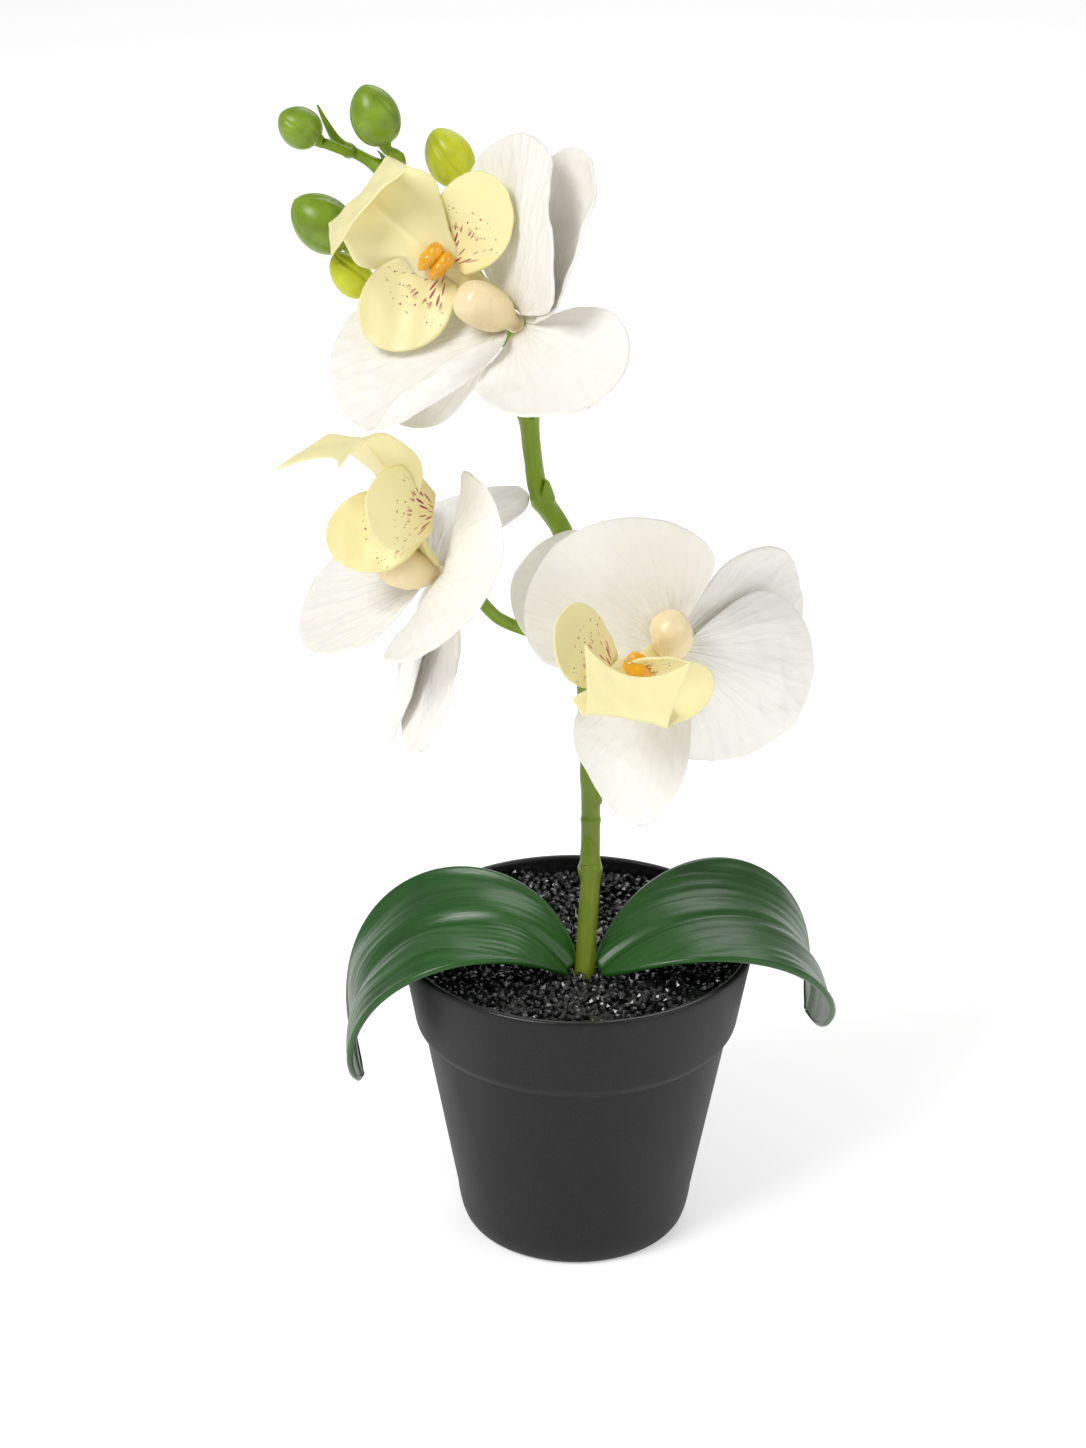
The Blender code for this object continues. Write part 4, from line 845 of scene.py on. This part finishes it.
class ORCHID_OT_grit(bpy.types.Operator):
    """Fill the pot with glassy granules"""
    bl_idname = "orchid.grit"
    bl_label = "Grit"

    def execute(self, context):
        sizes, colours = context.scene.orchid_sizes, context.scene.orchid_colours
        finish = grit_material(colours)
        bed, fill = self.bed(1.1, 0.6), self.fill(1.6)
        templates = [self.granule(f"granule_{k}", k) for k in range(3)]
        tree = self.tree(templates, fill, finish)
        modifier = bed.modifiers.new("granules", 'NODES')
        modifier.node_group = tree
        values = {"Granule": sizes.granule, "Spacing": sizes.granule_spacing, "Seed": sizes.seed}
        for item in tree.interface.items_tree:
            if item.in_out == 'INPUT' and item.name in values:
                modifier[item.identifier] = values[item.name]
        context.view_layer.update()
        mesh = bpy.data.meshes.new_from_object(bed.evaluated_get(context.evaluated_depsgraph_get()))
        mesh.name = "grit_fine"
        made = bpy.data.objects.new("grit_fine", mesh)
        context.scene.collection.objects.link(made)
        for old in [bed, fill] + templates:
            bpy.data.objects.remove(old, do_unlink=True)
        place_on_frame(made, "grit")
        return {'FINISHED'}

    def bed(self, sunk, lumps):
        """The gently lumpy surface which the granules are scattered over, this far under the CAD grit's top."""
        rings, sides = 22, 60
        r, turn = np.meshgrid(np.linspace(0.01, GRIT_RADIUS, rings), np.linspace(0, 2 * pi, sides + 1))
        x, y = r * np.cos(turn), r * np.sin(turn)
        z = GRIT_TOP - sunk + lumps * ripple(4, x / 16, y / 16)
        points = np.stack([x, y, z], -1).reshape(-1, 3)
        return piece("grit_bed", points, grid_faces(sides + 1, rings), [])

    def fill(self, sunk):
        """The dark fill under the granules, a closed body a little inside the pot's wall."""
        top, radius, sides = GRIT_TOP - sunk, GRIT_RADIUS, 72
        profile = np.array([(0.05, top), (radius * 0.5, top + 0.2), (radius - 1.0, top),
                            (radius - 3.4, top - 18.0), (radius - 6.4, top - 23.0), (radius - 15.0, 9.0),
                            (radius - 16.5, GRIT_LOW), (0.05, GRIT_LOW)])
        turn = np.linspace(0, 2 * pi, sides, endpoint=False)
        points = np.stack([profile[:, :1] * np.cos(turn), profile[:, :1] * np.sin(turn),
                           np.repeat(profile[:, 1:], sides, 1)], -1).reshape(-1, 3)
        faces = [(a + k, a + sides + k, a + sides + (k + 1) % sides, a + (k + 1) % sides)
                 for a in range(0, (len(profile) - 1) * sides, sides) for k in range(sides)]
        faces += [tuple(range(sides)), tuple((len(profile) - 1) * sides + k for k in reversed(range(sides)))]
        return piece("grit_fill", points, outward(faces, points), [])

    def granule(self, name, seed):
        """A tumbled granule about one unit across, with 24 faces."""
        shape = bmesh.new()
        bmesh.ops.create_cube(shape, size=1.0)
        bmesh.ops.subdivide_edges(shape, edges=shape.edges, cuts=1, use_grid_fill=True)
        draw = random.Random(seed + 40)
        for vertex in shape.verts:
            way = vertex.co.normalized()
            vertex.co = way * 0.5 * draw.uniform(0.78, 1.08) * (1.0 if vertex.co.length < 0.8 else 0.95)
            vertex.co.z *= 0.8
        mesh = bpy.data.meshes.new(name)
        shape.to_mesh(mesh)
        shape.free()
        made = bpy.data.objects.new(name, mesh)
        bpy.context.scene.collection.objects.link(made)
        return made

    def tree(self, templates, fill, finish):
        """Scatters turned and stretched granules over the bed, and adds the fill under them."""
        tree = bpy.data.node_groups.new("granules_on_bed", 'GeometryNodeTree')
        for name, way, kind in (("Geometry", 'INPUT', "Geometry"), ("Granule", 'INPUT', "Float"),
                                ("Spacing", 'INPUT', "Float"), ("Seed", 'INPUT', "Int"),
                                ("Geometry", 'OUTPUT', "Geometry")):
            tree.interface.new_socket(name, in_out=way, socket_type="NodeSocket" + kind)
        given = add(tree, "NodeGroupInput", out=None).outputs
        points = add(tree, "GeometryNodeDistributePointsOnFaces",
                     {"Mesh": given["Geometry"], "Distance Min": given["Spacing"], "Density Max": MOST_GRANULES,
                      "Seed": given["Seed"]}, out="Points", distribute_method='POISSON')
        joined = add(tree, "GeometryNodeJoinGeometry", out=None)
        for number, template in enumerate(templates):
            shape = add(tree, "GeometryNodeObjectInfo", {"Object": template, "As Instance": True}, out="Geometry")
            share = add(tree, "Math", [add(tree, "GeometryNodeInputIndex"), float(len(templates))],
                        operation='MODULO')
            mine = add(tree, "FunctionNodeCompare", {0: share, 1: float(number), "Epsilon": 0.1},
                       data_type='FLOAT', operation='EQUAL')
            turn = add(tree, "FunctionNodeRandomValue", {"Max": (6.28, 6.28, 6.28), "Seed": number + 11},
                       data_type='FLOAT_VECTOR')
            stretch = add(tree, "FunctionNodeRandomValue",
                          {"Min": (0.65, 0.55, 0.6), "Max": (1.35, 1.15, 1.2), "Seed": number + 21},
                          data_type='FLOAT_VECTOR')
            size = add(tree, "VectorMath", {0: stretch, "Scale": given["Granule"]}, operation='SCALE')
            laid = add(tree, "GeometryNodeInstanceOnPoints",
                       {"Points": points, "Selection": mine, "Instance": shape, "Rotation": turn, "Scale": size})
            feed(tree, joined, [laid])
        whole = add(tree, "GeometryNodeJoinGeometry",
                    [add(tree, "GeometryNodeRealizeInstances", [joined.outputs[0]])], out=None)
        feed(tree, whole, [add(tree, "GeometryNodeObjectInfo", {"Object": fill}, out="Geometry")])
        painted = add(tree, "GeometryNodeSetMaterial", {"Geometry": whole.outputs[0], "Material": finish})
        add(tree, "NodeGroupOutput", [painted], out=None)
        return tree


class ORCHID_OT_leaves(bpy.types.Operator):
    """Build the two ribbed leaves"""
    bl_idname = "orchid.leaves"
    bl_label = "Leaves"

    def execute(self, context):
        sizes, finish = context.scene.orchid_sizes, leaf_material(context.scene.orchid_colours)
        axes = (Vector((0, 0, 1)), Vector((0, 1, 0)), Vector((1, 0, 0)))
        for seed, (name, pose) in enumerate(LEAVES.items()):
            pattern = dict(LEAF_PATTERN, length=pose["length"], width=pose["width"])
            grid, u, v, aside, distance = blade_grid(pattern, pose, from_foot(pose["at"]), axes, 90, 130)
            ribs = 0.10 * ripple(seed + 60, aside / 4.4, distance / 75, 8)
            ribs += 0.04 * ripple(seed + 70, aside / 1.5, distance / 50)
            fade = np.clip((1 - np.abs(u)) * 6, 0, 1) * np.clip((1 - v) * 7, 0, 1)
            groove = -1.3 * np.exp(-(aside / 1.7) ** 2) * np.clip(1.05 - v, 0, 1) ** 0.4
            waves = 0.5 * ripple(seed + 80, aside / 24, distance / 30, 4)
            relief = (ribs + waves) * fade + groove
            from_edge = (1 - np.abs(u)) * pattern["width"] / 2
            rolled = 0.8 + 0.75 * np.exp(-from_edge ** 2)
            rounded = 1 - 0.2 * np.clip((np.abs(u) - 0.93) / 0.07, 0, 1)
            thickness = sizes.leaf_thickness / MM * rolled * rounded
            sheet = np.stack([aside / 10, distance / 10], -1)
            points, faces, uvs = sheet_body(grid, thickness, relief, {"sheet": sheet})
            made = piece(f"{name}_fine", points, outward(faces, points), [finish], uvs)
            place_on_frame(made, name)
        return {'FINISHED'}


class ORCHID_OT_stem(bpy.types.Operator):
    """Build the stem, with its joints and scales, and the flowers' stalks"""
    bl_idname = "orchid.stem"
    bl_label = "Stem and stalks"

    def execute(self, context):
        finish = stem_material(context.scene.orchid_colours)
        rows = stem_rows()
        bodies = [tube_body(rows, 24, 0.03, 2)] + [self.scale(rows, *spec) for spec in STEM_SCALES]
        points, faces, uvs = join_bodies(bodies)
        made = piece("stem_fine", points, faces, [finish], uvs)
        place_on_frame(made, "stem")
        for name, spec in FLOWERS.items():
            facing = flower_axes(spec["azimuth"], spec["elevation"])[0]
            end = from_foot(spec["at"]) - facing * 1.9
            by = [from_foot(p) for p in spec["by"]]
            start = start_on_stem(rows, spec["stem_height"], by[0], STALK_RADIUS)
            route = start + by + [end - facing * 7.0, end - facing * 3.5, end - facing * 1.2, end]
            radii = [STALK_RADIUS * 1.5, STALK_RADIUS * 1.25] + [STALK_RADIUS] * (len(route) - 5)
            radii += [STALK_RADIUS * 1.05, RECEPTACLE_RADIUS, RECEPTACLE_RADIUS * 1.1]
            stalk = tube_body(curve_through([(*p, r) for p, r in zip(route, radii)], 1.2), 18, 0.04, 9)
            made = piece(f"{name}_stalk_fine", stalk[0], stalk[1], [finish], stalk[2])
            place_on_frame(made, f"{name}_stalk")
        return {'FINISHED'}

    def scale(self, rows, height, clock, tall, wide):
        """A small pointed scale that hugs the stem at a joint."""
        index = int(np.argmin(np.abs(rows[:, 2] - (GRIT_TOP + height))))
        spot, along = Vector(rows[index, :3]), Vector(rows[index + 1, :3] - rows[index, :3]).normalized()
        facing = Vector((sin(radians(clock)), -cos(radians(clock)), 0.0))
        facing = (facing - along * facing.dot(along)).normalized()
        axes = (facing, along, along.cross(facing))
        pattern = dict(length=tall, width=wide, base=0.85, widest=0.2, shoulder=1.0, tip=1.1, fan=0.0)
        pose = dict(zip(POSE_KEYS, (0, 6, -8, 0, 0, 0, -75, -75)))
        root = spot + facing * (rows[index, 3] + 0.1)
        grid, u, v, aside, distance = blade_grid(pattern, pose, root, axes, 16, 20)
        flat = np.stack([aside, distance], -1) / 10
        points, faces, uvs = sheet_body(grid, 0.7 - 0.35 * v, np.zeros(u.shape), {"sheet": flat, "fan": flat})
        return points, outward(faces, points), uvs


class ORCHID_OT_petals(bpy.types.Operator):
    """Build every petal and sepal"""
    bl_idname = "orchid.petals"
    bl_label = "Petals and sepals"

    def execute(self, context):
        sizes, finish = context.scene.orchid_sizes, petal_material(context.scene.orchid_colours)
        seed = 100
        for flower, spec in FLOWERS.items():
            axes = flower_axes(spec["azimuth"], spec["elevation"])
            centre = from_foot(spec["at"])
            for kind, pattern, layer, vein_rate in (("petals", PETAL, PETAL_LAYER, 26.0),
                                                    ("sepals", SEPAL, -PETAL_LAYER, 30.0)):
                for name, row in spec[kind].items():
                    pose = dict(zip(POSE_KEYS, row))
                    out, _ = clock_axes(axes, pose["clock"])
                    origin = centre + out * HUB_RADIUS + axes[0] * layer
                    seed += 1
                    fold = FOLDED.get(f"{flower}_{name}", 0.0)
                    points, faces, uvs = petal_body(seed, scaled(pattern, spec["scale"]), pose, origin, axes,
                                                    sizes, vein_rate, fold)
                    made = piece(f"{flower}_{name}_fine", points, outward(faces, points), [finish], uvs)
                    place_on_frame(made, f"{flower}_{name}")
        return {'FINISHED'}


class ORCHID_OT_lips(bpy.types.Operator):
    """Build the lips with their side lobes and calluses, and the columns"""
    bl_idname = "orchid.lips"
    bl_label = "Lips and columns"

    def execute(self, context):
        sizes, colours = context.scene.orchid_sizes, context.scene.orchid_colours
        finishes = [lip_material(colours, False), lip_material(colours, True),
                    waxy_material("latex_callus_glossy", colours.callus, 0.72, 0.14, 3.0, Coat_Weight=0.5,
                                  Coat_Roughness=0.08)]
        cream = waxy_material("latex_column_waxy", colours.column, 0.93, 0.20, 4.0)
        for seed, (flower, spec) in enumerate(FLOWERS.items()):
            self.lip(flower, spec, sizes, finishes, seed)
            self.column(flower, spec, cream, seed)
        return {'FINISHED'}

    def lip(self, flower, spec, sizes, finishes, seed):
        lip, scale = spec["lip"], spec["scale"]
        axes = flower_axes(spec["azimuth"], spec["elevation"])
        out, _ = clock_axes(axes, lip["clock"])
        origin = from_foot(spec["at"]) + out * (HUB_RADIUS + 0.2) + axes[0] * (PETAL_LAYER + 1.6)
        stations, total = lip_stations(origin, axes, lip, scale)
        middle = lip_middle(stations, total, scale, sizes, seed + 30)
        bodies, slots = [middle], [0]
        at = stations[round(MIDLINE_STEPS * CLAW_LENGTH * scale / total)]
        joint, across, normal, along = (Vector(at[i:i + 3]) for i in (0, 3, 6, 9))
        for number, (place_on_claw, row) in enumerate(spec["lobes"].values()):
            start, pose = from_foot(place_on_claw), dict(zip(POSE_KEYS, row))
            grid, u, v, aside, distance = blade_grid(scaled(SIDE_LOBE, scale), pose, start, axes, 44, 44)
            root = curve_through([(*joint, 1.3), (*joint.lerp(start, 0.5), 1.2), (*start, 0.9)], 0.8)
            bodies.append(tube_body(root, 14, 0.02, number))
            slots.append(0)
            thickness = np.full(u.shape, sizes.lip_thickness / MM) * np.interp(v, [0, 0.3, 1], [1.8, 1.1, 0.8])
            relief = 0.18 * ripple(seed * 7 + number, aside / 9, distance / 9)
            bodies.append(sheet_body(grid, thickness, relief, {"fan": fan_coordinates(aside, distance, 2.0)}))
            slots.append(1)
        bodies.append(ellipsoid_body(joint, ((1, 0, 0), (0, 1, 0), (0, 0, 1)), (2.3, 2.3, 2.3), 12, 16))
        slots.append(0)
        centre = joint + normal * (2.0 + CALLUS_RADII[2] - CALLUS_SUNK)
        directions = (tuple(along), tuple(across), tuple(normal))

        def ridge(unit, polar, turn):
            aside = unit[..., 1]
            return 1 + 0.10 * aside ** 2 * np.sin(3 * turn) - 0.10 * np.exp(-(aside / 0.25) ** 2)

        for side in (-1, 1):
            spot = centre + along * (CALLUS_APART * side) * 1.06
            bodies.append(ellipsoid_body(spot, directions, [r * scale for r in CALLUS_RADII], 24, 30, ridge))
            slots.append(2)
        face_slots = [slot for body, slot in zip(bodies, slots) for _ in range(len(body[1]))]
        bodies = [(b[0], outward(b[1], b[0]), {"fan": b[2]["fan"]}) for b in bodies]
        points, faces, uvs = join_bodies(bodies)
        made = piece(f"{flower}_lip_fine", points, faces, finishes, uvs, face_slots)
        place_on_frame(made, f"{flower}_lip")

    def column(self, flower, spec, finish, seed):
        axes = flower_axes(spec["azimuth"], spec["elevation"])
        clock, lean = spec["column"]
        out, _ = clock_axes(axes, clock)
        centre, rows = from_foot(spec["at"]), []
        for forward, radius in COLUMN_PROFILE:
            aside = max(0.0, forward - 1.5) * sin(radians(lean))
            rows.append((*(centre + axes[0] * (forward * spec["scale"]) + out * aside * spec["scale"]), radius))
        points, faces, uvs = tube_body(curve_through(rows, 0.5), 32, 0.02, seed + 5)
        made = piece(f"{flower}_column_fine", points, faces, [finish], uvs)
        place_on_frame(made, f"{flower}_column")


class ORCHID_OT_buds(bpy.types.Operator):
    """Build the buds on their stalks"""
    bl_idname = "orchid.buds"
    bl_label = "Buds"

    def execute(self, context):
        colours = context.scene.orchid_colours
        green = waxy_material("latex_bud_green", colours.bud, 0.62, 0.24, 5.0)
        yellow = waxy_material("latex_bud_yellow", colours.bud_yellow, 0.78, 0.28, 5.0)
        stalk_finish = bpy.data.materials.get("polyethylene_stem")
        rows = stem_rows()
        for seed, (name, spec) in enumerate(BUDS.items()):
            tip = Vector(spec["tip"]).normalized()
            centre = from_foot(spec["at"])
            side = tip.cross(Vector((0.2, 1.0, 0.1))).normalized()
            directions = (tuple(side), tuple(tip.cross(side)), tuple(tip))
            opened = "yellow" in name

            def egg(unit, polar, turn):
                twist = turn + 0.35 * unit[..., 2]
                seam = np.exp(-(np.sin(1.5 * (twist - 0.6 * seed)) / (0.16 if opened else 0.10)) ** 2)
                lip = 0.04 * np.maximum(0, np.sin(1.5 * (twist - 0.6 * seed) * 2))
                fade = np.clip(np.sin(polar) * 1.6, 0, 1)
                taper = 1 - 0.13 * unit[..., 2] * np.sin(polar)
                return taper * (1 - (0.13 if opened else 0.075) * seam * fade + lip * fade * opened)

            body = ellipsoid_body(centre, directions, spec["radii"], 44, 60, egg)
            by = [from_foot(p) for p in spec["by"]]
            start = start_on_stem(rows, spec["stem_height"], by[0], BUD_STALK_RADIUS)
            reach = spec["radii"][2]
            route = start + by + [centre - tip * (reach + 1.6), centre - tip * (reach * 0.85)]
            radii = [*BUD_STALK_TAPER] + [BUD_STALK_RADIUS] * (len(route) - 3) + [BUD_STALK_RADIUS * 1.55]
            stalk = tube_body(curve_through([(*p, r) for p, r in zip(route, radii)], 1.0), 16, 0.04, 20 + seed)
            slots = [0] * len(body[1]) + [1] * len(stalk[1])
            points, faces, uvs = join_bodies([body, stalk])
            made = piece(f"{name}_fine", points, faces, [yellow if opened else green, stalk_finish], uvs, slots)
            place_on_frame(made, name)
        return {'FINISHED'}


class ORCHID_OT_stage(bpy.types.Operator):
    """Lay the pale floor, the soft lights and the camera"""
    bl_idname = "orchid.stage"
    bl_label = "Stage"

    def execute(self, context):
        scene = context.scene
        scene.view_settings.view_transform = 'Standard'
        # matt white paper, with a little light of its own that keeps it white right up to the pot
        paper = new_material("floor_paper", Base_Color=linear("#f6f6f6"), Roughness=0.9, Specular_IOR_Level=0.1,
                             Emission_Color=(1.0, 1.0, 1.0), Emission_Strength=0.42)[0]
        size, z = 6.0, -0.0002
        mesh = bpy.data.meshes.new("floor")
        corners = [(-size, -size, z), (size, -size, z), (size, size, z), (-size, size, z)]
        mesh.from_pydata(corners, [], [(0, 1, 2, 3)])
        mesh.materials.append(paper)
        floor = bpy.data.objects.new("floor", mesh)
        scene.collection.objects.link(floor)
        world = bpy.data.worlds.new("studio")
        scene.world = world
        world.use_nodes = True
        background = world.node_tree.nodes["Background"]
        background.inputs["Color"].default_value = (1.0, 1.0, 1.0, 1.0)
        background.inputs["Strength"].default_value = 0.385
        middle = Vector((-0.005, 0.0, 0.16))
        for name, place, power, width in (("key", (-0.75, -0.75, 1.25), 12.2, 0.6),
                                          ("fill", (0.9, -0.6, 0.7), 2.6, 0.9),
                                          ("back", (0.3, 0.9, 1.0), 3.5, 0.8)):
            light = bpy.data.lights.new(name, 'AREA')
            light.energy, light.size = power, width
            lamp = bpy.data.objects.new(name, light)
            lamp.location = place
            lamp.rotation_euler = (middle - Vector(place)).to_track_quat('-Z', 'Y').to_euler()
            scene.collection.objects.link(lamp)
        self.camera(scene)
        return {'FINISHED'}

    def camera(self, scene):
        """A long lens that looks down at the plant from a little over two of its heights away."""
        data = bpy.data.cameras.new("camera")
        data.sensor_fit, data.sensor_height, data.sensor_width = 'VERTICAL', 36.0, 27.0
        data.lens = 89.33
        data.clip_start, data.clip_end = 0.05, 30.0
        camera = bpy.data.objects.new("camera", data)
        pitch, roll, distance = radians(25.3), radians(-0.37), 0.8895
        aim = Vector((-0.009, 0.0, 0.1401))
        ahead = Vector((0.0, cos(pitch), -sin(pitch)))
        right, up = Vector((1.0, 0.0, 0.0)), Vector((0.0, sin(pitch), cos(pitch)))
        right, up = right * cos(roll) - up * sin(roll), right * sin(roll) + up * cos(roll)
        camera.matrix_world = Matrix((right, up, -ahead)).transposed().to_4x4()
        camera.location = aim - ahead * distance
        scene.collection.objects.link(camera)
        scene.camera = camera


OPERATORS = (ORCHID_OT_pot, ORCHID_OT_grit, ORCHID_OT_leaves, ORCHID_OT_stem, ORCHID_OT_petals, ORCHID_OT_lips,
             ORCHID_OT_buds, ORCHID_OT_stage)


class ORCHID_PT_panel(bpy.types.Panel):
    """Sizes, colours and the build steps of the potted orchid"""
    bl_idname = "ORCHID_PT_panel"
    bl_label = "Potted Orchid"
    bl_space_type = 'VIEW_3D'
    bl_region_type = 'UI'
    bl_category = "Orchid"

    def draw(self, context):
        layout = self.layout
        for group in (context.scene.orchid_sizes, context.scene.orchid_colours):
            for name in type(group).__annotations__:
                layout.prop(group, name)
        for operator in OPERATORS:
            layout.operator(operator.bl_idname)


CLASSES = (OrchidSizes, OrchidColours, *OPERATORS, ORCHID_PT_panel)


def register():
    for made in CLASSES:
        bpy.utils.register_class(made)
    bpy.types.Scene.orchid_sizes = PointerProperty(type=OrchidSizes)
    bpy.types.Scene.orchid_colours = PointerProperty(type=OrchidColours)


def unregister():
    del bpy.types.Scene.orchid_colours
    del bpy.types.Scene.orchid_sizes
    for made in reversed(CLASSES):
        bpy.utils.unregister_class(made)


def main():
    register()
    bpy.ops.orchid.pot()
    bpy.ops.orchid.grit()
    bpy.ops.orchid.leaves()
    bpy.ops.orchid.stem()
    bpy.ops.orchid.petals()
    bpy.ops.orchid.lips()
    bpy.ops.orchid.buds()
    bpy.ops.orchid.stage()
    bpy.context.view_layer.update()


if __name__ == "__main__":
    main()
